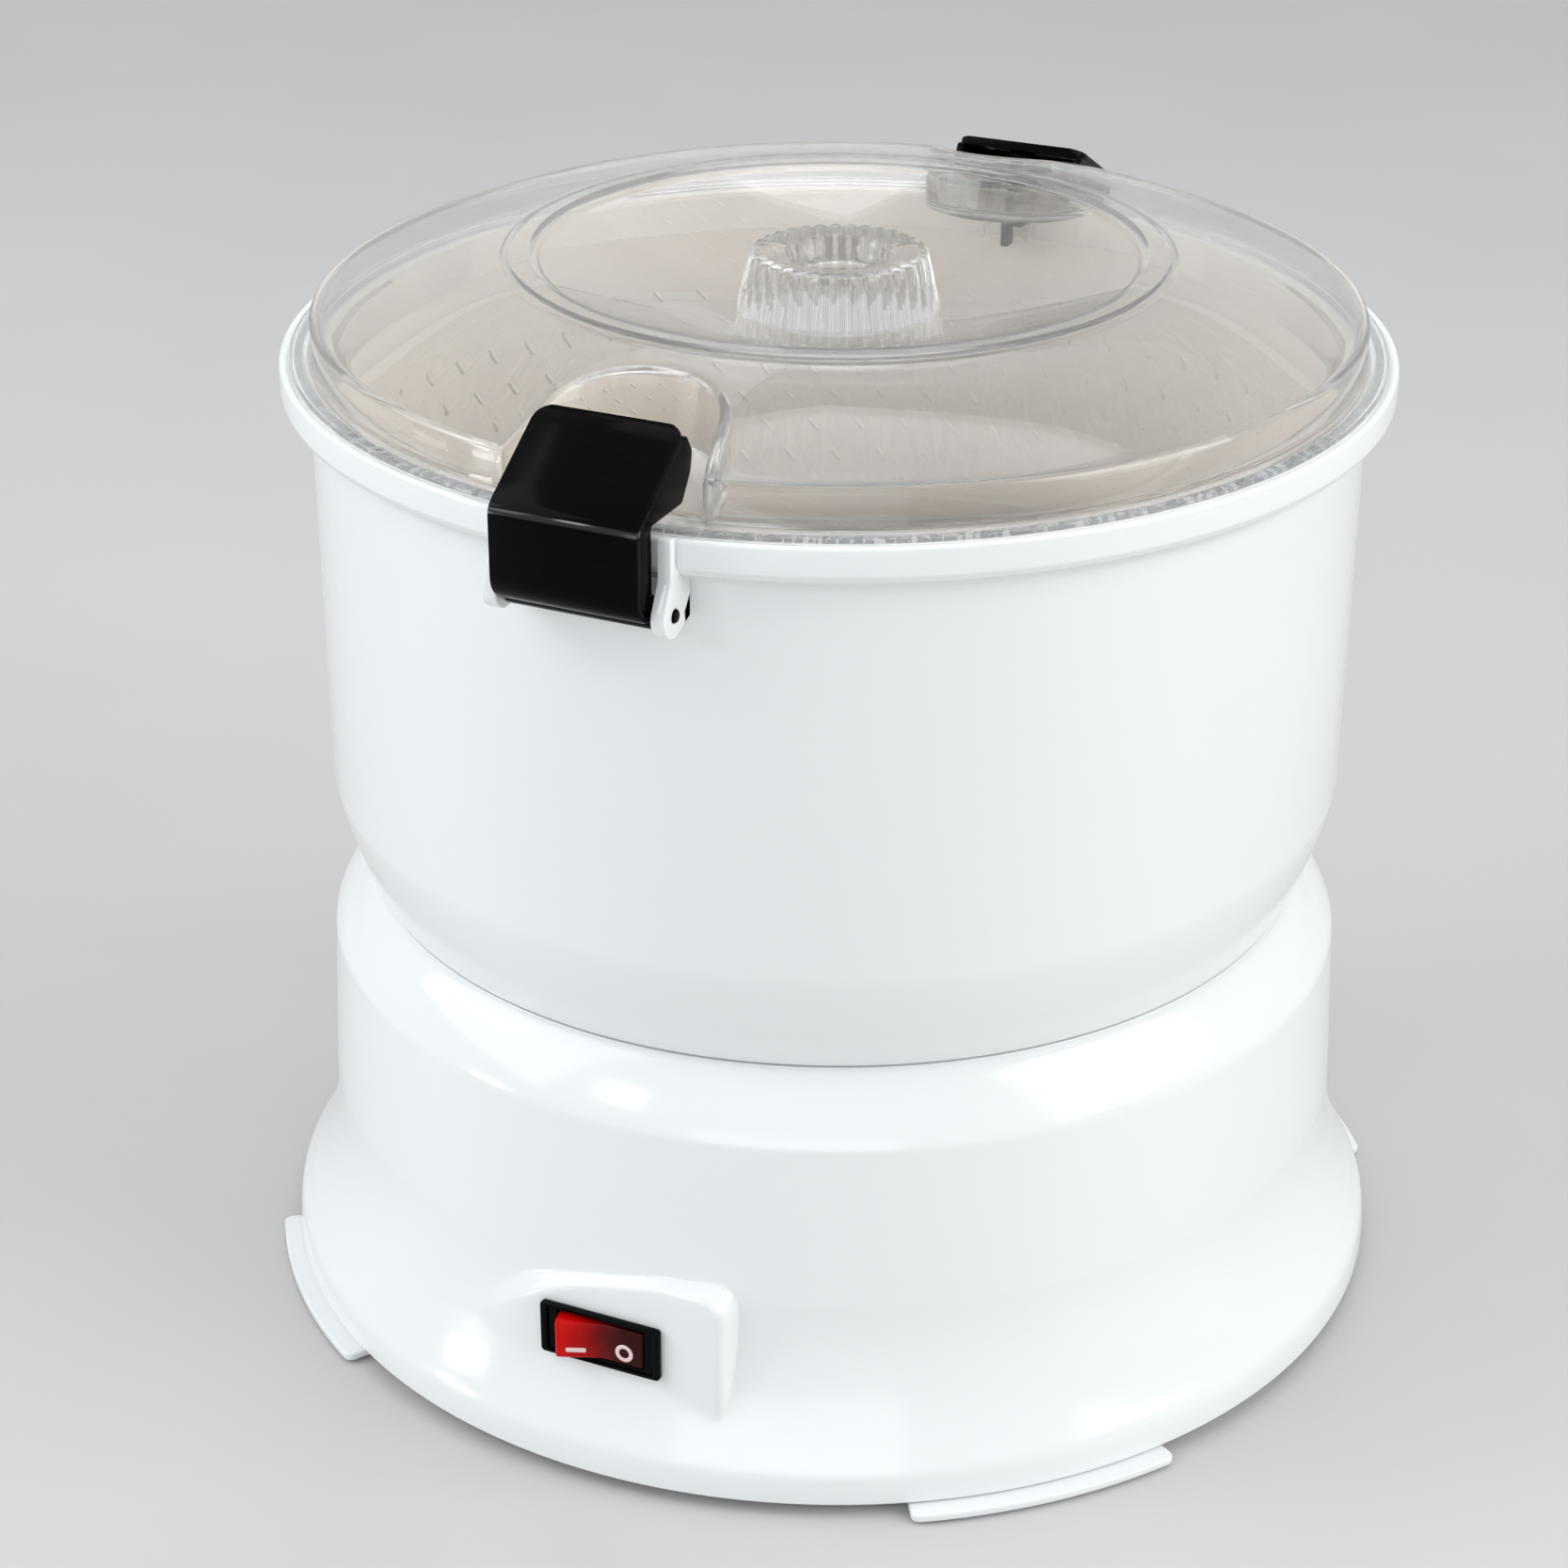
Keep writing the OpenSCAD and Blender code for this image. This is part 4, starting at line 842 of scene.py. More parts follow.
def ring_tree():
    """A tree that stands copies of the incoming mesh in staggered rows round the Z axis."""
    tree = bpy.data.node_groups.new("ring_of_copies", "GeometryNodeTree")
    ports = tree.interface
    ports.new_socket(name="Geometry", in_out="INPUT", socket_type="NodeSocketGeometry")
    for name, kind in (("Per row", "NodeSocketInt"), ("Rows", "NodeSocketInt"), ("Radius", "NodeSocketFloat"),
                       ("Low row", "NodeSocketFloat"), ("Row rise", "NodeSocketFloat"),
                       ("Stagger", "NodeSocketFloat"), ("Start turn", "NodeSocketFloat"),
                       ("Finish", "NodeSocketMaterial")):
        ports.new_socket(name=name, in_out="INPUT", socket_type=kind)
    ports.new_socket(name="Geometry", in_out="OUTPUT", socket_type="NodeSocketGeometry")
    g = Graph(tree)
    given = g.node("NodeGroupInput").outputs
    per_row = Sum(g, given["Per row"])
    total = per_row * Sum(g, given["Rows"])
    line = g.node("GeometryNodeMeshLine", None, {"Count": total})
    index = Sum(g, g.node("GeometryNodeInputIndex").outputs[0])
    row = g.math("FLOOR", (index + 0.5) / per_row)
    column = index - row * per_row
    odd = g.math("MODULO", row, 2.0)
    turn = (column + odd * Sum(g, given["Stagger"])) * TURN / per_row + Sum(g, given["Start turn"])
    radius = Sum(g, given["Radius"])
    height = Sum(g, given["Low row"]) + row * Sum(g, given["Row rise"])
    spot = g.node("ShaderNodeCombineXYZ", None, {
        "X": g.math("COSINE", turn) * radius, "Y": g.math("SINE", turn) * radius, "Z": height})
    facing = g.node("ShaderNodeCombineXYZ", None, {"Z": turn})
    points = g.node("GeometryNodeSetPosition", None, {
        "Geometry": line.outputs[0], "Position": spot.outputs[0]})
    copies = g.node("GeometryNodeInstanceOnPoints", None, {
        "Points": points.outputs[0], "Instance": given["Geometry"], "Rotation": facing.outputs[0]})
    real = g.node("GeometryNodeRealizeInstances", None, {0: copies.outputs[0]})
    painted = g.node("GeometryNodeSetMaterial", None, {
        "Geometry": real.outputs[0], "Material": given["Finish"]})
    g.node("NodeGroupOutput", None, {0: painted.outputs[0]})
    return tree


RING = ring_tree()


def ring_of(seed, material, per_row, radius, low, rows=1, rise=0.0, stagger=0.5, start=0.0):
    """Replaces a seed piece, drawn at the axis, by its copies round the Z axis. Sizes in millimetres."""
    modifier = seed.modifiers.new("ring", "NODES")
    modifier.node_group = RING
    values = {"Per row": per_row, "Rows": rows, "Radius": radius * MM, "Low row": low * MM,
              "Row rise": rise * MM, "Stagger": stagger, "Start turn": start, "Finish": material}
    for item in RING.interface.items_tree:
        if item.in_out == "INPUT" and item.name in values:
            modifier[item.identifier] = values[item.name]
    bpy.context.view_layer.update()
    made = seed.evaluated_get(bpy.context.evaluated_depsgraph_get())
    mesh = bpy.data.meshes.new_from_object(made)
    seed.modifiers.remove(modifier)
    seed.data = mesh
    return seed


# ---------------------------------------------------------------- outlines of the base and bowl

def rounding(share):
    """A rounded corner that falls from 1 to 0."""
    return (1 - min(1, max(0, share)) ** ROUNDING_POWER) ** (1 / ROUNDING_POWER)


def above_zero(value, softness):
    """The value where it is above 0 and nearly 0 elsewhere, with a soft turn between the two."""
    return (value + math.sqrt(value * value + softness)) / 2


def skirt_at(z):
    """Radius of the flared skirt at a height."""
    share = (SKIRT_TOP_Z - z) / (SKIRT_TOP_Z - KNEE_Z)
    return BASE_R + (SKIRT_R - SKIRT_ROLL - BASE_R) * share ** SKIRT_POWER


def shoulder_at(z):
    """Radius of the base's rounded shoulder at a height."""
    return SEAM_R + (BASE_R - BASE_DRAFT - SEAM_R) * rounding((z - SHOULDER_Z) / (SEAM_Z - SHOULDER_Z))


def bowl_at(z):
    """Radius of the bowl's rounded lower wall at a height."""
    return SEAM_R + (BOWL_R - BOWL_DRAFT - SEAM_R) * rounding((BOWL_ROUND_Z - z) / (BOWL_ROUND_Z - BOWL_LOW))


def shell_at(z):
    """Radius of the base's outside at a height."""
    if z < SKIRT_TOP_Z:
        edge = SKIRT_R - SKIRT_ROLL * min(1, (z - SKIRT_LIFT) / (KNEE_Z - SKIRT_LIFT)) ** 2
        gap = edge - skirt_at(z)
        return edge - (above_zero(gap, 0.5) if abs(gap) < 3 else max(0.0, gap))
    if z < SHOULDER_Z:
        return BASE_R - BASE_DRAFT * (z - SKIRT_TOP_Z) / (SHOULDER_Z - SKIRT_TOP_Z)
    return shoulder_at(z)


def rectangle(half_w, half_h, radius, clockwise=False):
    """A rounded rectangle round the middle of the switch."""
    loop = block(-half_w, SWITCH_Z - half_h, half_w, SWITCH_Z + half_h, radius, 4)
    return loop[::-1] if clockwise else loop


# ---------------------------------------------------------------- base

def panel_reach(x, z):
    """How far a point of the switch panel's drawing lies outside its rounded outline."""
    fall = PANEL_FALL * max(0.0, PANEL_FALL_X - x)
    droop = PANEL_DROOP * max(0.0, PANEL_DROOP_X - x) ** 2
    dx = x - (PANEL_HALF - PANEL_CORNER)
    dz = z - (PANEL_TOP_Z - fall - droop - PANEL_CORNER)
    if dx > 0 and dz > 0:
        return math.hypot(dx, dz) - PANEL_CORNER
    return max(dx, dz) - PANEL_CORNER


def boss_reach(x, z):
    """How far a point lies outside the cord boss."""
    return math.hypot(x, z - CORD_Z) - CORD_BOSS_R


def raised(turn, z, shell):
    """Radius of the base where the switch panel and the cord boss stand out of the shell."""
    widest = 0.4
    least = 100.0
    softness = 0.25
    for face, top, draft, outline in ((-math.pi / 2, PANEL_U, PANEL_DRAFT, panel_reach),
                                      (math.pi / 2, CORD_BOSS_U, CORD_BOSS_DRAFT, boss_reach)):
        off = (turn - face + math.pi) % TURN - math.pi
        if abs(off) > widest or z > PANEL_TOP_Z + 6:
            continue
        reach = top
        for _ in range(3):
            across = reach * math.sin(off)
            away = above_zero(outline(across, z), softness)
            steep = draft
            fall = 0.0
            if outline is panel_reach:
                steep += PANEL_SOFTENING * max(0.0, PANEL_FALL_X - across)
                fall = PANEL_RUN_OUT * max(0.0, PANEL_RUN_OUT_X - across) ** 2
            reach = max(top - away / steep - fall, least) / math.cos(off)
        gap = reach - shell
        shell = (reach + shell + math.sqrt(gap * gap + softness)) / 2 - 0.06 / max(1.0, abs(gap))
    return shell


def fine_turns():
    """Angles round the base, close together at the edges of the panel and the cord boss."""
    turns = []
    for low, high, step in ((-180, -106, 2.0), (-106, -101, 0.16), (-101, -79, 0.8), (-79, -74, 0.16),
                            (-74, 84, 2.0), (84, 96, 0.3), (96, 180, 2.0)):
        turns += [math.radians(a) for a in spread(low, high, step)[:-1]]
    return turns


def cut_openings(shell):
    """Takes the switch's seat and hole and the gland's hole out of the base."""
    inside = 112
    for name, half_w, half_h, low, high in (("bezel_seat", 16.2, 7.4, PANEL_U, 150),
                                            ("switch_hole", 13.9, 6.5, inside, 140)):
        cut(shell, plate(name, [rectangle(half_w, half_h, 0)], low, high, 0, SHELL_WHITE, facing_front))
    hole_r = GLAND_R + 0.03
    outside = 145
    line = [(0, inside), (hole_r, inside), (hole_r, outside), (0, outside)]
    cut(shell, lathe("gland_hole", line, SHELL_WHITE, 48, 32, False, through_rear))


def base_housing():
    """The housing: skirt, wall and deck in one shell, with keys for the bowl and pillars for the plate."""
    # The rows lie closest together over the top edge of the switch panel.
    heights = (spread(SKIRT_LIFT + 0.6, 14, 0.8) + spread(14.8, 39, 1.0) + spread(39.4, 59, 0.35)
               + spread(60, SHOULDER_Z - 1, 1.5) + spread(SHOULDER_Z, SEAM_Z - 0.6, 0.8))
    outer = [(SKIRT_R - 0.5, SKIRT_LIFT + 0.05)] + [(shell_at(z), z) for z in heights]
    under = DECK_Z - WALL
    seal_r = SEAL_R + 0.03
    top = bend([(SEAM_R, SEAM_Z - 0.5, 0), (SEAM_R, SEAM_Z, 0.6), (WELL_R, SEAM_Z, 0.8),
                (WELL_R, DECK_Z, 1.5), (SHAFT_BOSS_R, DECK_Z, 2.0), (SHAFT_BOSS_R, SHAFT_BOSS_TOP_Z, 0.8),
                (seal_r, SHAFT_BOSS_TOP_Z, 0.3), (seal_r, SEAL_LOW_Z, 0), (SHAFT_HOLE_R, SEAL_LOW_Z, 0),
                (SHAFT_HOLE_R, under, 0), (shoulder_at(under - 0.2) - WALL, under, 0)])
    falling = spread(under - 0.4, SHOULDER_Z, -1.6) + spread(88, SKIRT_LIFT + 0.05, -3)
    line = outer + top[1:-1] + [(shell_at(z) - WALL, z) for z in falling]
    turns = fine_turns()
    verts = []
    for i, (r, z) in enumerate(line):
        for turn in turns:
            reach = raised(turn, z, r) if i < len(outer) else r
            verts.append((reach * math.cos(turn), reach * math.sin(turn), z))
    shell = make_object("base_shell", verts, closed_bands(len(verts), len(turns)), SHELL_WHITE, 35)
    cut_openings(shell)
    key = plate("key_seed", [block(-2.8, -4, 2.2, 4, 0.8)], DECK_Z - 0.5, DECK_Z + 4, 0.6, SHELL_WHITE)
    keys = ring_of(key, SHELL_WHITE, 3, KEY_RING_R, 0, start=math.radians(60))
    pillar_top = under + 0.4
    pillar = lathe("pillar_seed", [(SCREW_R, SKIRT_LIFT), (PILLAR_R, SKIRT_LIFT), (PILLAR_R, pillar_top),
                                   (SCREW_R, pillar_top)], SHELL_WHITE, 32)
    pillars = ring_of(pillar, SHELL_WHITE, 4, PILLAR_RING_R, 0, start=math.radians(45))
    whole = join("base_housing_shell", [shell, keys, pillars])
    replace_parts(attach(whole, "base"), "base_housing")


def vent(near, far, half, corner, turn, middle=0.0):
    """A slot for air that points away from a middle on the X axis."""
    spots = [turned(a, b, turn) for a, b in block(far, -half, near, half, corner)]
    return wound([(x + middle, y) for x, y in spots], -1)


def base_plate():
    """The plate under the base, with its four foot tabs and its vents."""
    eighth = math.pi / 4
    step = 0.03
    outline = []
    for k in range(4):
        middle = math.radians(45 + 90 * k)
        low = middle - TAB_HALF_TURN
        high = middle + TAB_HALF_TURN
        outline += arc(PLATE_R, spread(middle - eighth, low - 0.012, step)[1:])
        outline += arc(PLATE_R, [low], 1.2) + arc(TAB_R, [low], 3.0)
        outline += arc(TAB_R, spread(low + step, high - step, step))
        outline += arc(TAB_R, [high], 3.0) + arc(PLATE_R, [high], 1.2)
        outline += arc(PLATE_R, spread(high + 0.012, middle + eighth, step)[:-1])
    motor_vents = [vent(8, 21, 1.4, 1.3, TURN * k / 12, -58) for k in range(12)]
    side_vents = [vent(56, 84, 1.6, 1.5, math.radians(-40 + 10 * k)) for k in range(9)]
    made = plate("base_plate_moulding", [bend(outline, 4)] + motor_vents + side_vents,
                 PLATE_LOW_Z, PLATE_TOP_Z, 0.45, PLATE_WHITE)
    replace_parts(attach(made, "base"), "base_plate")


# ---------------------------------------------------------------- bowl, liner and disc

def outer_bowl():
    """The bowl: spigot and hub below, a rounded wall, and a flange with the liner's seat at the rim."""
    rise = [(bowl_at(z), z, 0) for z in spread(BOWL_LOW + 0.6, BOWL_ROUND_Z, 1.2)]
    flange = [(BOWL_R, RIM_Z - 9.6, 3.6), (FLANGE_R - 0.9, RIM_Z - 6.6, 1.0), (FLANGE_R, RIM_Z - 5, 1.4),
              (FLANGE_R, RIM_Z + LIP_RISE, 0.9), (LIP_IN, RIM_Z + LIP_RISE, 0.7), (LIP_IN, RIM_Z, 0.4)]
    seat_z = RIM_Z - REBATE_DEEP
    seat = [(REBATE_R, RIM_Z, 0.3), (REBATE_R, seat_z, 0.2), (BOWL_R - WALL, seat_z, 0.3)]
    fall = [(bowl_at(z) - WALL, z, 0) for z in spread(BOWL_ROUND_Z, 120, -1.5)]
    hub = [(bowl_at(FLOOR_TOP) - WALL, FLOOR_TOP, 2.2), (HUB_R, FLOOR_TOP, 1.5), (HUB_R, HUB_TOP_Z, 0.8),
           (HUB_BORE_R, HUB_TOP_Z, 0.8), (HUB_BORE_R, FLOOR_UNDER, 0.6)]
    spigot_in = SPIGOT_R - SPIGOT_WALL
    spigot = [(spigot_in, FLOOR_UNDER, 1.0), (spigot_in, SPIGOT_LOW_Z, 0.6), (SPIGOT_R, SPIGOT_LOW_Z, 0.6),
              (SPIGOT_R, BOWL_LOW, 0.8)]
    line = [(SEAM_R, BOWL_LOW, 0.4)] + rise + flange + seat + fall + hub + spigot
    made = lathe("bowl_moulding", bend(line, 5), SHELL_WHITE, 288, 35)
    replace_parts(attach(made, "bowl"), "outer_bowl")


def peeling_liner():
    """The liner: a straight sleeve with staggered rows of slanting teeth on its inside."""
    flange_r = REBATE_R - 0.2
    under = RIM_Z - 1.8
    top = RIM_Z - 0.2
    line = bend([(LINER_IN, LINER_LOW, 0.4), (LINER_OUT, LINER_LOW, 0.4), (LINER_OUT, under, 0.2),
                 (flange_r, under, 0.2), (flange_r, top, 0.5), (LINER_IN, top, 0.6)], 4)
    sleeve = lathe("liner_sleeve", line, LINER_PAINTED_WARM, 288, 35)

    def tilted(a, b, h):
        return (-h, *turned(a, b, TOOTH_SLANT))

    tooth = plate("tooth_seed", [block(-2.4, -0.6, 2.4, 0.6, 0.55, 1)], -0.4, 0.55, 0.35, LINER_PAINTED_WARM,
                  tilted, 60, 1)
    teeth = ring_of(tooth, LINER_PAINTED_WARM, TEETH_IN_ROW, LINER_IN, LINER_LOW + 14, rows=TOOTH_ROWS,
                    rise=TOOTH_ROW_RISE)
    made = join("liner_with_teeth", [sleeve, teeth])
    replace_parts(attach(made, "bowl"), "peeling_liner")


def hump_height(x, y):
    """Height of the disc's top with its three rounded ridges."""
    best = 0.0
    for k in range(3):
        run, side = turned(x, y, -TURN * k / 3 - math.radians(30))
        if run < HUMP_NEAR or run > HUMP_FAR:
            continue
        end = min(1.0, (run - HUMP_NEAR) / HUMP_END, (HUMP_FAR - run) / HUMP_END)
        rise = math.sqrt(max(0.0, HUMP_R ** 2 - side * side)) - HUMP_SUNK
        best = max(best, rise * math.sqrt(max(0.0, end)))
    return DISC_TOP + best


def peeling_disc():
    """The driven disc: smooth ridges on top, a skirt, a hub and ribs below."""
    steps = 300
    rows = spread(15.5, DISC_FLAT_R, 1.4)
    verts = [(x, y, hump_height(x, y)) for r in rows for x, y, _ in ring(r, steps)]
    rim = bend([(DISC_FLAT_R, DISC_TOP, 0), (DISC_R, DISC_TOP, 1.0), (DISC_R, DISC_Z, 0.8),
                (DISC_SKIRT_OUT, DISC_Z, 1.0), (DISC_SKIRT_OUT, DISC_SKIRT_LOW_Z, 0.6),
                (DISC_SKIRT_IN, DISC_SKIRT_LOW_Z, 0.6), (DISC_SKIRT_IN, DISC_Z, 1.0),
                (DISC_HUB_R, DISC_Z, 1.0), (DISC_HUB_R, DISC_HUB_LOW_Z, 0.5),
                (DISC_BORE_R, DISC_HUB_LOW_Z, 0.2), (DISC_BORE_R, DISC_TOP, 0)], 4)
    for r, z in rim[1:]:
        verts += ring(r, steps, z)
    body = make_object("disc_body", verts, closed_bands(len(verts), steps), DISC_PLASTIC, 40)
    rib = plate("rib_seed", [block(-46, -1, 46, 1, 0.6)], DISC_Z - 4, DISC_Z + 0.2, 0.5, DISC_PLASTIC)
    ribs = ring_of(rib, DISC_PLASTIC, 6, 63.0, 0)
    made = join("disc_moulding", [body, ribs])
    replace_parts(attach(made, "disc"), "peeling_disc")


def abrasive_pad():
    """Bonded grit over the flat of the disc, with an uneven grain of its own."""
    steps = 420
    rows = spread(PAD_IN, PAD_OUT, 0.9)
    verts = []
    for r in rows:
        edge = 0.25 if r in (rows[0], rows[-1]) else 0.0
        for x, y, _ in ring(r, steps):
            grain = math.sin(x * 3.1 + 1.7 * math.sin(y * 2.3)) * math.sin(y * 2.9 + 1.3 * math.sin(x * 1.9))
            verts.append((x, y, DISC_TOP + PAD_THICK + 0.16 * grain - edge))
    for r in (rows[-1], rows[0]):
        verts += ring(r, steps, DISC_TOP + 0.05)
    made = make_object("grit_ring", verts, closed_bands(len(verts), steps), GRIT, 60)
    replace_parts(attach(made, "disc"), "abrasive_pad")


def hub_cap():
    """The round cap over the shaft's end, with a shallow dimple."""
    low = DISC_TOP + 0.1
    top = DISC_TOP + CAP_RISE
    line = bend([(0, low, 0), (CAP_R, low, 0.4), (CAP_R, DISC_TOP + 4, 1.2), (11.2, top, 2.2), (6, top, 0.8),
                 (5.4, top - 0.6, 0.5), (0, top - 0.6, 0)], 6)
    made = lathe("hub_cap_turned", line, HOLDER_BLACK, 96, 40)
    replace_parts(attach(made, "disc"), "hub_cap")


# ---------------------------------------------------------------- lid

def ease(share):
    """Rises from 0 to 1 with a level start and end."""
    return share * share * (3 - 2 * share)


def lid_top(r):
    """Height of the lid's top: a dish, a raised crest and the dome."""
    r = min(r, DOME_END_R)
    crest_low = CREST_Z - CREST_EDGE
    dish = DISH_Z + (crest_low - DISH_Z) * (min(r, CREST_R) / CREST_R) ** 2
    if r < CREST_FOOT_IN:
        return dish
    if r < CREST_FLAT_IN:
        return dish + (CREST_Z - dish) * ease((r - CREST_FOOT_IN) / (CREST_FLAT_IN - CREST_FOOT_IN))
    if r < CREST_FLAT_OUT:
        return CREST_Z
    dome = crest_low - (crest_low - LID_EDGE_Z - 1) * (max(0, r - DOME_START_R) / DOME_RUN) ** 2
    if r < CREST_FOOT_OUT:
        return CREST_Z + (dome - CREST_Z) * ease((r - CREST_FLAT_OUT) / (CREST_FOOT_OUT - CREST_FLAT_OUT))
    return dome


def lid_outline():
    """Plan of the raised part of the lid, anticlockwise: round, with a U-shaped pocket at each end."""
    mouth = POCKET_R + POCKET_MOUTH
    corner_u = math.sqrt(LID_WALL_R ** 2 - mouth ** 2)
    lower = math.atan2(corner_u, mouth)
    pocket = [math.radians(-t) for t in spread(3, 177, 4.0)]
    part = arc(LID_WALL_R, spread(-lower + 0.03, lower - 0.03, 0.0125))
    part += [(mouth, corner_u, 2.2)] + arc(POCKET_R, pocket, 0, (0.0, POCKET_U)) + [(-mouth, corner_u, 2.2)]
    loop = [(*turned(a, b, half), corner) for half in (0, math.pi) for a, b, corner in part]
    return divided(bend(loop, 6), 1.7)


def ring_match(loop, radius):
    """Partners on a circle for the points of the lid's outline: straight out, and evenly across a pocket."""
    count = len(loop)
    angles = [math.atan2(y, x) for x, y in loop]
    deep = [math.hypot(x, y) < LID_WALL_R - 0.02 for x, y in loop]
    start = next(k for k in range(count) if not deep[k] and deep[k - 1])
    order = [(start + k) % count for k in range(count)]
    partners = [None] * count
    i = 0
    while i < count:
        here = order[i]
        if not deep[here]:
            partners[here] = angles[here]
            i += 1
            continue
        j = i
        while j < count and deep[order[j]]:
            j += 1
        run = order[i - 1:j + 1] if j < count else order[i - 1:j] + [order[0]]
        low = angles[run[0]]
        swing = (angles[run[-1]] - low + math.pi) % TURN - math.pi
        length = [0.0]
        for a, b in zip(run, run[1:]):
            length.append(length[-1] + math.dist(loop[a], loop[b]))
        for k in range(1, len(run) - 1):
            partners[run[k]] = low + swing * length[k] / length[-1]
        i = j
    return [(radius * math.cos(turn), radius * math.sin(turn)) for turn in partners]


def knob_outline(height):
    """Plan of the fluted knob at a height."""
    share = (height - KNOB_LOW) / (KNOB_TOP - KNOB_LOW)
    core = KNOB_LOW_R + (KNOB_TOP_R - KNOB_LOW_R) * share - 0.3
    steps = FLUTES * 10
    loop = []
    for k in range(steps):
        turn = TURN * k / steps
        reach = core + FLUTE_DEEP * abs(math.cos(FLUTES * turn / 2)) ** FLUTE_POWER
        loop.append((reach * math.cos(turn), reach * math.sin(turn)))
    return loop


def pocket_rise(x, y):
    """How far the floor of a finger pocket has risen, from nothing at its mouth."""
    share = (LID_WALL_R - 0.6 - math.hypot(x, y)) / POCKET_RUN
    return POCKET_RISE * max(0.0, min(1.0, share))


def raised_floor(loop, height):
    """Heights of a loop's points, each with the rise of the pocket's floor."""
    return [height + pocket_rise(x, y) for x, y in loop]


def far_from(loop, x, y, gap):
    """True if a point of the lid is more than a gap away from a loop along its outline."""
    wall_zone_r = 118
    pocket_zone_x = 30
    pocket_zone_u = 78
    if math.hypot(x, y) < wall_zone_r and (abs(x) > pocket_zone_x or abs(y) < pocket_zone_u):
        return True
    return min(math.dist((x, y), p) for p in loop) > gap


class Skin:
    """A closed skin that grows ring by ring."""

    def __init__(self):
        self.verts = []
        self.faces = []

    def ring(self, points, heights):
        """Adds a ring of points; gives the number of its first one."""
        start = len(self.verts)
        self.verts += [(x, y, z) for (x, y), z in zip(points, heights)]
        return start

    def rows(self, rings):
        """Adds rings of equal count, joined one to the next; gives where each starts."""
        starts = [self.ring(points, heights) for points, heights in rings]
        for low, high in zip(starts, starts[1:]):
            self.faces += band(low, high, len(rings[0][0]))
        return starts

    def close(self, first, steps, height):
        """Joins a ring to a point on the axis."""
        tip = len(self.verts)
        self.verts.append((0, 0, height))
        self.faces += [(first + k, first + (k + 1) % steps, tip) for k in range(steps)]

    def dome(self, rim, first, hole, lower):
        """The lid's dome from a ring at its edge to a round hole, through evenly spread points."""
        spots = []
        apart = 2.6
        for r in spread(83, 123.6, 2.4):
            count = int(TURN * r / apart)
            shift = 0.5 * (int(r * 10) % 2)
            for k in range(count):
                turn = TURN * (k + shift) / count
                x = r * math.cos(turn)
                y = r * math.sin(turn)
                if covered([rim], x, y) and far_from(rim, x, y, 1.2):
                    spots.append((x, y))
        flat, tris = fill([rim, hole], spots)
        start = len(self.verts)
        on_rim = {(round(x, 3), round(y, 3)): k for k, (x, y) in enumerate(rim)}
        for x, y in flat:
            key = (round(x, 3), round(y, 3))
            height = lid_top(math.hypot(x, y)) - lower
            if key in on_rim:
                height = self.verts[first + on_rim[key]][2]
            self.verts.append((x, y, height))
        self.faces += [tuple(start + i for i in tri) for tri in tris]


def lid_sides(outline):
    """Rings of the lid's skin from the edge of the dome, over wall, flange and skirt, to the underside."""
    rings = []
    steps = 6
    crest = [lid_top(math.hypot(x, y)) for x, y in inset(outline, LID_EDGE_ROUND)]
    for k in range(steps + 1):
        turn = math.pi / 2 * (1 - k / steps)
        moved = inset(outline, LID_EDGE_ROUND * (1 - math.cos(turn)) if k < steps else 0.0)
        drop = LID_EDGE_ROUND * (1 - math.sin(turn))
        rings.append((moved, [top - drop for top in crest]))
    for out, height in ((0.0, LID_FLOOR_Z + 0.7), (-0.2, LID_FLOOR_Z + 0.2), (-0.7, LID_FLOOR_Z)):
        rings.append((inset(outline, out) if out else outline, raised_floor(outline, height)))
    for radius, height in ((LID_FLANGE_R - 0.5, LID_FLOOR_Z), (LID_FLANGE_R - 0.12, LID_FLOOR_Z - 0.15),
                           (LID_FLANGE_R, LID_FLOOR_Z - 0.5), (LID_FLANGE_R, LID_LOW + 0.4),
                           (LID_FLANGE_R - 0.4, LID_LOW), (GASKET_OUT, LID_LOW),
                           (GASKET_OUT, LID_LOW + GASKET_SEAT), (GASKET_IN, LID_LOW + GASKET_SEAT),
                           (GASKET_IN, LID_LOW), (LID_SKIRT_OUT + 0.6, LID_LOW),
                           (LID_SKIRT_OUT, LID_LOW - 0.6),
                           (LID_SKIRT_OUT, LID_SKIRT_LOW + 0.4), (LID_SKIRT_OUT - 0.4, LID_SKIRT_LOW),
                           (LID_SKIRT_IN + 0.4, LID_SKIRT_LOW), (LID_SKIRT_IN, LID_SKIRT_LOW + 0.4),
                           (LID_SKIRT_IN, LID_LOW - 0.2)):
        rings.append((ring_match(outline, radius), [height] * len(outline)))
    cavity = inset(outline, LID_T)
    sunk = [LID_T * max(0.0, min(1.0, (math.hypot(x, y) - 117) / 5.5)) for x, y in cavity]
    rings.append((cavity, [LID_LOW + pocket_rise(x, y) + up for (x, y), up in zip(cavity, sunk)]))
    roof = inset(outline, LID_T + 0.8)
    under = [lid_top(math.hypot(x, y)) - LID_T for x, y in roof]
    rings.append((cavity, [z - 0.8 for z in under]))
    rings.append((inset(outline, LID_T + 0.25), [z - 0.25 for z in under]))
    rings.append((roof, under))
    return rings


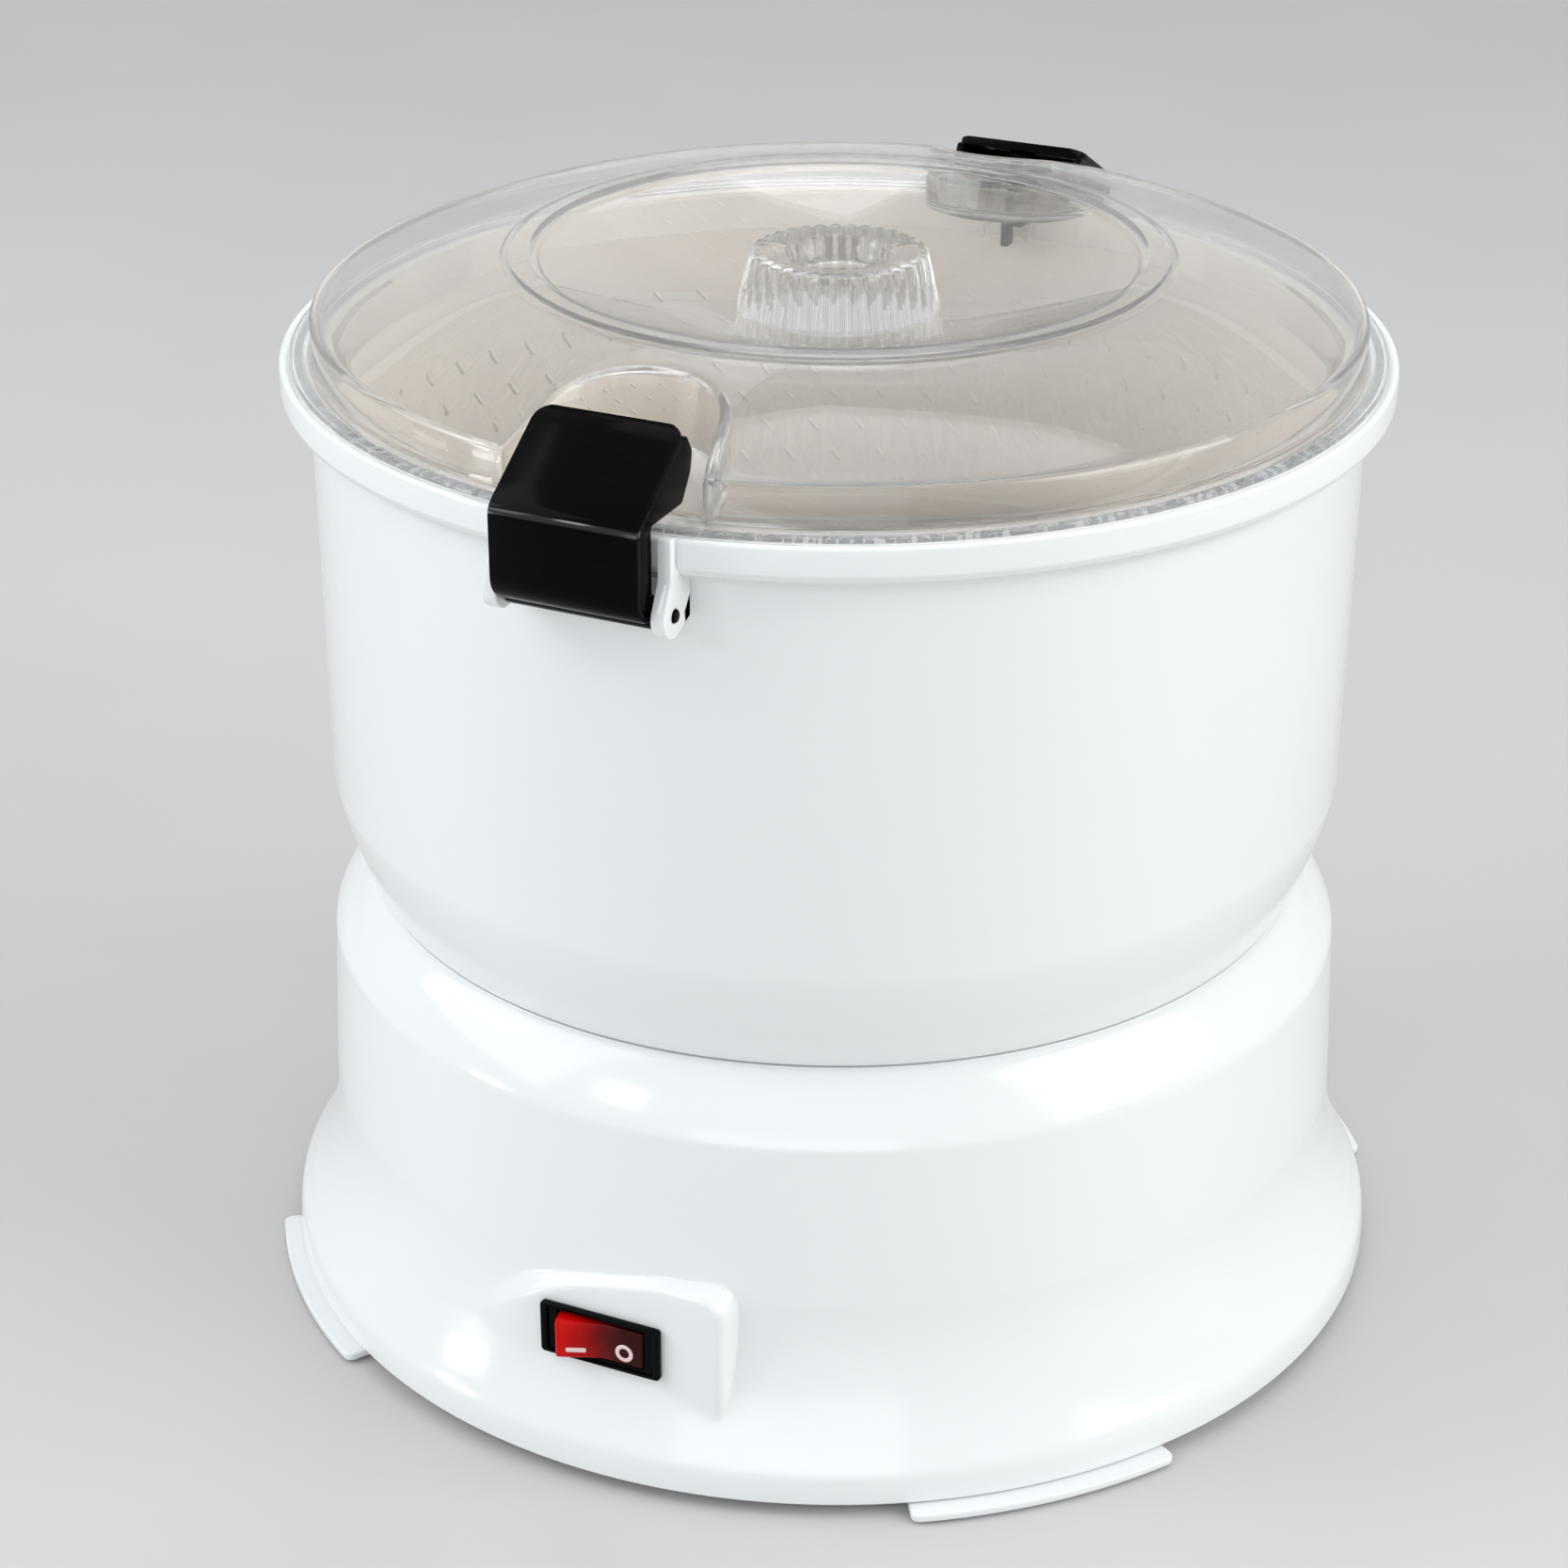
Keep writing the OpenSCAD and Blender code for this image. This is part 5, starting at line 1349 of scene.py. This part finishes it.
def knob_rings(steps):
    """Rings of the knob from its foot, over its rim, down into its recess."""
    foot = knob_outline(KNOB_LOW + 2.2)
    rings = [(foot, [lid_top(math.hypot(x, y)) for x, y in foot])]
    for drop in (11.5, 9, 6, 3, 0.8):
        rings.append((knob_outline(KNOB_TOP - drop), [KNOB_TOP - drop] * steps))
    edge = knob_outline(KNOB_TOP - 0.8)
    for pull, drop in ((0.25, 0.25), (0.9, 0)):
        rings.append((inset(edge, pull), [KNOB_TOP - drop] * steps))
    for radius, drop in ((16.5, 0), (13.2, 0.3), (12.4, 0.8), (11.6, 3.4), (10.9, 5.4),
                         (9.6, 6.1), (5.0, 6.3)):
        rings.append((circle(0, 0, radius, steps), [KNOB_TOP - drop] * steps))
    return rings


def lid_shell():
    """The clear lid as one closed skin: top sheet, rim, flange, skirt, underside and fluted knob."""
    outline = lid_outline()
    skin = Skin()
    sides = skin.rows(lid_sides(outline))
    steps = len(knob_outline(KNOB_LOW))
    crest_out = 81.0
    hole = circle(0, 0, crest_out, steps, True)
    skin.dome(inset(outline, LID_EDGE_ROUND), sides[0], hole, 0.0)
    skin.dome(inset(outline, LID_T + 0.8), sides[-1], hole, LID_T)
    dish = spread(crest_out, 70.2, -0.45) + spread(68, 29, -3)
    top = [(circle(0, 0, r, steps), [lid_top(r)] * steps) for r in dish]
    skin.close(skin.rows(top + knob_rings(steps))[-1], steps, KNOB_TOP - 6.4)
    low = [(circle(0, 0, r, steps), [lid_top(r) - LID_T] * steps) for r in dish + spread(26, 11, -3)]
    skin.close(skin.rows(low)[-1], steps, lid_top(0) - LID_T)
    return make_object("lid_skin", skin.verts, skin.faces, CLEAR, 50)


def lid():
    """The lid with the two ribs that hold its key."""
    parts = [lid_shell()]
    near = 115.4
    far = LID_SKIRT_IN - 0.25
    for x in (-8.7, 4.5):
        rib = bend([(x - 0.7, near, 0.4), (x + 0.7, near, 0.4), (x + 0.7, far, 0.1), (x - 0.7, far, 0.1)], 3)
        parts.append(plate("rib", [rib], LID_SKIRT_LOW, LID_LOW - 0.2, 0.3, CLEAR))
    made = join("clear_lid_moulding", parts)
    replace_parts(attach(made, "lid_group"), "lid")


def lid_trim():
    """The gasket under the lid's flange, and the key behind its skirt at the rear."""
    low = LID_LOW - 0.3
    top = LID_LOW + GASKET_SEAT
    inner = GASKET_IN + 0.2
    outer = GASKET_OUT - 0.2
    line = bend([(inner, low, 0.4), (outer, low, 0.4), (outer, top, 0.2), (inner, top, 0.2)], 3)
    made = lathe("gasket_ring", line, GASKET_GREY, 288)
    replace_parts(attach(made, "lid_group"), "lid_gasket")
    outline = bend([(-3.0, KEY_LOW_Z, 0.3), (-0.8, KEY_LOW_Z, 0.3), (-0.8, KEY_BAR_Z, 0.4),
                    (3.2, KEY_BAR_Z, 0.3), (3.2, KEY_TOP_Z, 0.4), (-3.0, KEY_TOP_Z, 0.4)], 3)
    key = plate("lid_key_moulding", [outline], -LID_SKIRT_IN + 0.25, -LID_SKIRT_IN + 4.2, 0.25, LATCH_BLACK,
                facing_front)
    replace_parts(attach(key, "lid_group"), "lid_key")


# ---------------------------------------------------------------- latches and their brackets


def latch_path(tip):
    """Middle line of a latch's strip: the curl at the hinge, the upright and the bend at the fold."""
    half_t = LATCH_T / 2
    turns = [math.radians(t) for t in spread(-112, 0, 7)]
    path = [(u, z) for u, z, _ in arc(CURL_R - half_t, turns, 0, (FOLD_U - CURL_R, CURL_Z))]
    slope = Vector((TIP_U - FOLD_U, tip - FOLD_Z)).normalized()
    path.append(tuple(Vector((FOLD_U - half_t, FOLD_Z - 1.9))))
    corner = Vector((FOLD_U - half_t, FOLD_Z - half_t * 0.35))
    reach = 1.7
    start = corner - Vector((0, reach))
    end = corner + slope * reach
    for share in (0.0, 0.25, 0.5, 0.75, 1.0):
        a = (1 - share) ** 2
        b = 2 * share * (1 - share)
        c = share ** 2
        path.append((a * start.x + b * corner.x + c * end.x, a * start.y + b * corner.y + c * end.y))
    return path, slope


def latch_strip(name, tip):
    """The strip of a latch with its rounded end."""
    path, slope = latch_path(tip)
    inward = Vector((slope.y, -slope.x))
    if inward.y > 0:
        inward = -inward
    run_end = Vector((TIP_U, tip)) + inward * (LATCH_T / 2)
    first = Vector(path[-1])
    length = (run_end - first).length
    stations = [length * share for share in (0.2, 0.4, 0.6, 0.8) if length * share < length - TIP_ROUND]
    turns = [math.radians(a) for a in (0, 20, 40, 55, 70, 80, 90)]
    rounded = [length - TIP_ROUND + TIP_ROUND * math.sin(turn) for turn in turns]
    path += [tuple(first + slope * station) for station in stations + rounded]
    widths = []
    for i, point in enumerate(path):
        back = (Vector(point) - run_end).length
        half = LATCH_HALF
        if back < TIP_ROUND and i >= len(path) - len(rounded):
            half -= TIP_ROUND - math.sqrt(max(0.0, TIP_ROUND ** 2 - (TIP_ROUND - back) ** 2))
        widths.append(half)
    widths[-1] = LATCH_HALF - TIP_ROUND + 0.4
    return sweep(name + "_strip", path, widths, LATCH_T, LATCH_BLACK, 0.5, 28)


def latch_mesh(name, tip):
    """One latch, drawn at the rear: the strip, two cheeks under it, the hook and the barrel on the pin."""
    parts = [latch_strip(name, tip)]
    curl = arc(5.6, [math.radians(t) for t in spread(-90, 0, 15)], 0, (FOLD_U - CURL_R, CURL_Z))
    inner_u = PIN_U + 2.1
    under = FOLD_Z - 1.1
    cheek = [(FOLD_U - 1.5, FOLD_Z - 0.6, 0.4), (TIP_U, tip - 1.6, 1.2), (TIP_U - 2.8, tip - 6, 2.5),
             (TIP_U - 1.8, tip - 10.5, 2.0), (TIP_U + 2.4, under, 1.2), (inner_u, under, 0.8),
             (inner_u, PIN_Z + 3, 0.8), (PIN_U, PIN_Z + 1.8, 0)] + curl
    for side in (-1, 1):
        low, high = sorted((side * (LATCH_HALF - 2), side * LATCH_HALF))
        parts.append(plate(name + "_cheek", [bend(cheek, 4)], low, high, 0.35, LATCH_BLACK, along_x))
    hook_z = LID_FLOOR_Z + 1.15
    hook_u = TIP_U + 0.5
    hook = bend([(hook_u, hook_z, 0.4), (hook_u + 1.9, hook_z, 0.4), (hook_u + 2.9, tip - 3.8, 0.5),
                 (hook_u, tip - 2.8, 0.5)], 3)
    parts.append(plate(name + "_hook", [hook], -3, 3, 0.3, LATCH_BLACK, along_x))
    barrel = bend([(PIN_HOLE_R, -LATCH_HALF, 0), (3.6, -LATCH_HALF, 0.5), (3.6, LATCH_HALF, 0.5),
                   (PIN_HOLE_R, LATCH_HALF, 0)], 3)
    parts.append(lathe(name + "_barrel", barrel, LATCH_BLACK, 48, 32, True, on_hinge))
    return join(name, parts)


def latches():
    """Both latches; the rear one's tip is set lower."""
    for name, body, turn, tip in (("front_latch", "latch_front", True, FRONT_TIP_Z),
                                  ("rear_latch", "latch_rear", False, FRONT_TIP_Z - REAR_TIP_DROP)):
        made = latch_mesh(name + "_moulding", tip)
        if turn:
            half_turn(made)
        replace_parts(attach(made, body), name)


def bracket_mesh(name):
    """Two ears with a web between them behind the latch."""
    wall_u = math.sqrt(BOWL_R ** 2 - EAR_NEAR_X ** 2) + 0.2
    rim_u = math.sqrt(FLANGE_R ** 2 - EAR_NEAR_X ** 2) + 0.2
    under = EAR_TOP_Z - 9.6
    lobe = arc(EAR_LOBE_R, [math.radians(t) for t in spread(-124, 24, 8)], 0, (PIN_U, PIN_Z))
    ear = [(wall_u, PIN_Z - 2.6, 0.3)] + lobe + [
        (EAR_FRONT_U, PIN_Z + 8, 3.0), (EAR_FRONT_U, EAR_TOP_Z, 0.7), (rim_u, EAR_TOP_Z, 0.4),
        (rim_u, EAR_TOP_Z - 6.2, 0.2), (rim_u - 0.8, EAR_TOP_Z - 7.2, 0.2), (wall_u, under, 0.2)]
    hole = circle(PIN_U, PIN_Z, PIN_HOLE_R, 24, True)
    parts = []
    for side in (-1, 1):
        low, high = sorted((side * EAR_NEAR_X, side * EAR_FAR_X))
        parts.append(plate(name + "_ear", [bend(ear, 4), hole], low, high, 0.4, SHELL_WHITE, along_x))
    reach = math.asin(20.0 / BOWL_R)
    web = []
    for radius, turns in ((BOWL_R + 0.2, spread(-reach, reach, 0.02)),
                          (BOWL_R + 1.8, spread(reach, -reach, -0.02))):
        web += [(radius * math.sin(t), radius * math.cos(t)) for t in turns]
    parts.append(plate(name + "_web", [wound(web)], PIN_Z + 5.2, under - 0.2, 0.3, SHELL_WHITE))
    return join(name, parts)


def brackets():
    """The brackets at the front and rear with their hinge pins."""
    half = 22.2
    line = bend([(0, -half, 0), (PIN_R, -half, 0.5), (PIN_R, half, 0.5), (0, half, 0)], 4)
    for end, turn in (("front", True), ("rear", False)):
        made = bracket_mesh(end + "_bracket_moulding")
        pin = lathe(end + "_pin_turned", line, PIN_BLACK, 32, 40, False, on_hinge)
        if turn:
            half_turn(made)
            half_turn(pin)
        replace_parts(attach(made, "bowl"), end + "_bracket")
        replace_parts(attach(pin, "bowl"), end + "_hinge_pin")


# ---------------------------------------------------------------- switch

def switch():
    """The switch body: a bezel with a shallow recess, and a well that the rocker tips in."""
    seat_u = PANEL_U + 0.02
    well = rectangle(*SWITCH_WELL_HALF, 0.3, True)
    outside = rectangle(*SWITCH_HALF, 0.5)
    parts = []
    for name, loops, low, high, edge in (
            ("bezel_frame", [rectangle(*BEZEL_HALF, 1.0), rectangle(*RECESS_HALF, 0.7, True)],
             seat_u, BEZEL_U - 0.2, 0.5),
            ("bezel_floor", [rectangle(*BEZEL_FLOOR_HALF, 0.7), well], seat_u, BEZEL_U - 1.0, 0.2),
            ("well_wall", [outside, well], WELL_FLOOR_U, PANEL_U + 0.1, 0.0),
            ("switch_back", [outside], SWITCH_BACK_U, WELL_FLOOR_U, 0.3)):
        parts.append(plate(name, loops, low, high, edge, SWITCH_BLACK, facing_front))
    body = join("switch_body_moulding", parts)
    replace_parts(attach(body, "base"), "switch_body")


def rocker():
    """The rocker with its I and O, tipped so that the O end is pressed in."""
    rise = ROCKER_FACE + ROCKER_HALF * math.tan(ROCKER_TILT)
    end_x = ROCKER_HALF * 0.965
    end_rise = rise * 0.985
    foot_x = ROCKER_HALF * 0.98
    profile = bend([(0.0, ROCKER_FACE, 3.5), (-end_x, end_rise, 0.7), (-ROCKER_HALF, ROCKER_FACE, 0.6),
                    (-foot_x, -2.0, 0.5), (foot_x, -2.0, 0.5), (ROCKER_HALF, ROCKER_FACE, 0.6),
                    (end_x, end_rise, 0.7)], 6)
    face_tilt = math.atan2(end_rise - ROCKER_FACE, end_x)

    def placed(a, b, h):
        x = a * math.cos(ROCKER_TILT) + b * math.sin(ROCKER_TILT)
        y = a * math.sin(ROCKER_TILT) - b * math.cos(ROCKER_TILT)
        return (x, y - PIVOT_U, SWITCH_Z + h)

    def on_face(side, along, up, out):
        """A point on the left or right face of the rocker, as (x, y, z)."""
        a = side * along * math.cos(face_tilt)
        b = ROCKER_FACE + along * math.sin(face_tilt) + out * math.cos(face_tilt)
        a -= side * out * math.sin(face_tilt)
        return placed(a, b, up)

    parts = [plate("rocker_cap", [wound(profile)], -ROCKER_HALF_WIDE, ROCKER_HALF_WIDE, 0.5,
                   ROCKER_RED, placed)]
    dash = [block(3.6, -0.6, 8.4, 0.6, 0.35)]
    nought = [circle(6.0, 0, 2.3, 40), circle(6.0, 0, 1.3, 40, True)]
    for name, loops, side, drop in (("mark_i", dash, -1, 2.6), ("mark_o", nought, 1, 1.6)):
        def marked(a, b, h, side=side, drop=drop):
            return on_face(side, a, b - drop, h)

        parts.append(plate(name, loops, -0.2, 0.09, 0.04, MARK_WHITE, marked))
    made = join("rocker_moulding", parts)
    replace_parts(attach(made, "switch_rocker"), "rocker")


def cord_gland():
    """The flanged sleeve that the cord comes out of."""
    inner_u = 120.8
    head_u = CORD_BOSS_U + 0.05
    line = bend([(GLAND_BORE_R, inner_u, 0.3), (GLAND_R, inner_u, 0.3), (GLAND_R, head_u, 0.2),
                 (GLAND_HEAD_R, head_u, 0.3), (GLAND_HEAD_R, GLAND_OUT_U, 0.9),
                 (GLAND_BORE_R, GLAND_OUT_U, 0.6)], 4)
    made = lathe("gland_turned", line, HOLDER_BLACK, 64, 32, True, through_rear)
    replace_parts(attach(made, "base"), "cord_gland")


# ---------------------------------------------------------------- carried-over nodes

def dress_nodes():
    """Gives each solid that stays in view its own finish."""
    finishes = {
        FOOT_RUBBER: ["rubber_feet"],
        SCREW_STEEL: ["plate_screws", "gearbox_screws", "motor_bolts"],
        CASE_GREY: ["gearbox_case", "gearbox_cover"],
        STEEL: ["idler_axle", "drive_shaft", "retaining_clip", "rotor_shaft"],
        BRONZE: ["upper_bush", "lower_bush", "motor_bearings"],
        SEAL_RUBBER: ["shaft_seal"],
        SHEETS: ["motor_stator", "armature_core"],
        WIRE: ["field_coils", "armature_winding"],
        ZINC: ["motor_top_bracket", "motor_bottom_bracket"],
        HOLDER_BLACK: ["brush_holders"],
        CARBON: ["carbon_brushes"],
        BRASS: ["switch_terminals", "motor_pinion"],
        COPPER_BARS: ["commutator"],
        GEAR_NYLON: ["output_gear", "idler_gear", "cooling_fan"],
    }
    for material, names in finishes.items():
        for name in names:
            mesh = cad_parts[name].data
            mesh.materials.clear()
            mesh.materials.append(material)


# ---------------------------------------------------------------- stage

def stage():
    """A plain pale worktop."""
    f = Finish("worktop")
    cloud = f.noise(160, 3.0)
    fine = f.noise(1.4, 3.0)
    tone = f.mix_colour(cloud, (0.54, 0.535, 0.53), (0.60, 0.595, 0.59))
    floor_finish = f.close(Base_Color=tone, Roughness=0.30 + (fine - 0.5) * 0.06, IOR=1.45,
                           Normal=f.bump(f.noise(60, 2.0), 0.02))
    half = 4.0
    corners = [(-half, -half, 0), (half, -half, 0), (half, half, 0), (-half, half, 0)]
    mesh = bpy.data.meshes.new("worktop")
    mesh.from_pydata(corners, [], [(0, 1, 2, 3)])
    mesh.materials.append(floor_finish)
    floor = bpy.data.objects.new("worktop", mesh)
    scene.collection.objects.link(floor)


def lamp(name, place, aim, size, power, colour=(1, 1, 1)):
    """A rectangular lamp of a size in metres and a power in watts."""
    data = bpy.data.lights.new(name, "AREA")
    data.shape = "RECTANGLE"
    data.size, data.size_y = size
    data.energy = power
    data.color = colour
    made = bpy.data.objects.new(name, data)
    made.location = place
    made.rotation_euler = (Vector(aim) - Vector(place)).to_track_quat("-Z", "Y").to_euler()
    scene.collection.objects.link(made)


def lights():
    """A window with its panes on the left, a bright room on the right, and a pale world."""
    target = (0, 0, 0.13)
    cool = (0.98, 0.99, 1.0)
    lamp("window", (-1.35, -0.75, 1.3), target, (1.5, 1.5), 14.2, (0.965, 0.985, 0.995))
    lamp("window_pane", (-1.44, -0.68, 1.17), target, (0.40, 0.36), 3.5, cool)
    lamp("low_pane", (-1.473, -1.208, 0.168), target, (0.26, 0.24), 2.2, cool)
    lamp("front_pane", (-0.70, -1.62, 1.0), target, (0.30, 0.30), 2.3)
    lamp("room", (1.6, 0.05, 1.0), target, (1.3, 1.3), 19.6, (1.0, 0.995, 0.98))
    lamp("ceiling", (0.1, 0.4, 1.9), target, (1.6, 1.2), 9.0)
    lamp("front", (0.5, -1.7, 0.40), target, (1.4, 0.7), 4.6)
    world = bpy.data.worlds.new("room")
    world.use_nodes = True
    scene.world = world
    world.node_tree.nodes.clear()
    g = Graph(world.node_tree)
    path = g.node("ShaderNodeLightPath")
    seen = g.math("MAXIMUM", Sum(g, path.outputs["Is Camera Ray"]), Sum(g, path.outputs["Is Glossy Ray"]))
    seen = g.math("MAXIMUM", seen, Sum(g, path.outputs["Is Transmission Ray"]))
    lit = g.node("ShaderNodeBackground", None, {"Color": (0.91, 0.94, 0.98), "Strength": 0.53})
    shown = g.node("ShaderNodeBackground", None, {"Color": (0.80, 0.81, 0.82), "Strength": 0.80})
    both = g.node("ShaderNodeMixShader", None, {0: seen, 1: lit.outputs[0], 2: shown.outputs[0]})
    g.node("ShaderNodeOutputWorld", None, {"Surface": both.outputs[0]})


def camera():
    """The camera: where it stands, its line of sight and a slight roll."""
    data = bpy.data.cameras.new("camera")
    data.sensor_width = 36
    data.lens = 82.11
    data.clip_end = 20
    made = bpy.data.objects.new("camera", data)
    made.location = (0.3286, -0.7450, 0.5203)
    look = Vector((-0.3752, 0.8158, -0.4400)).normalized()
    right = look.cross(Vector((0, 0, 1))).normalized()
    up = right.cross(look)
    roll = math.radians(0.1)
    right, up = right * math.cos(roll) + up * math.sin(roll), up * math.cos(roll) - right * math.sin(roll)
    made.rotation_euler = Matrix((right, up, -look)).transposed().to_euler()
    scene.collection.objects.link(made)
    scene.camera = made


scene.view_settings.view_transform = "Standard"
camera()
base_housing()
base_plate()
outer_bowl()
peeling_liner()
peeling_disc()
abrasive_pad()
hub_cap()
lid()
lid_trim()
latches()
brackets()
switch()
rocker()
cord_gland()
dress_nodes()
stage()
lights()
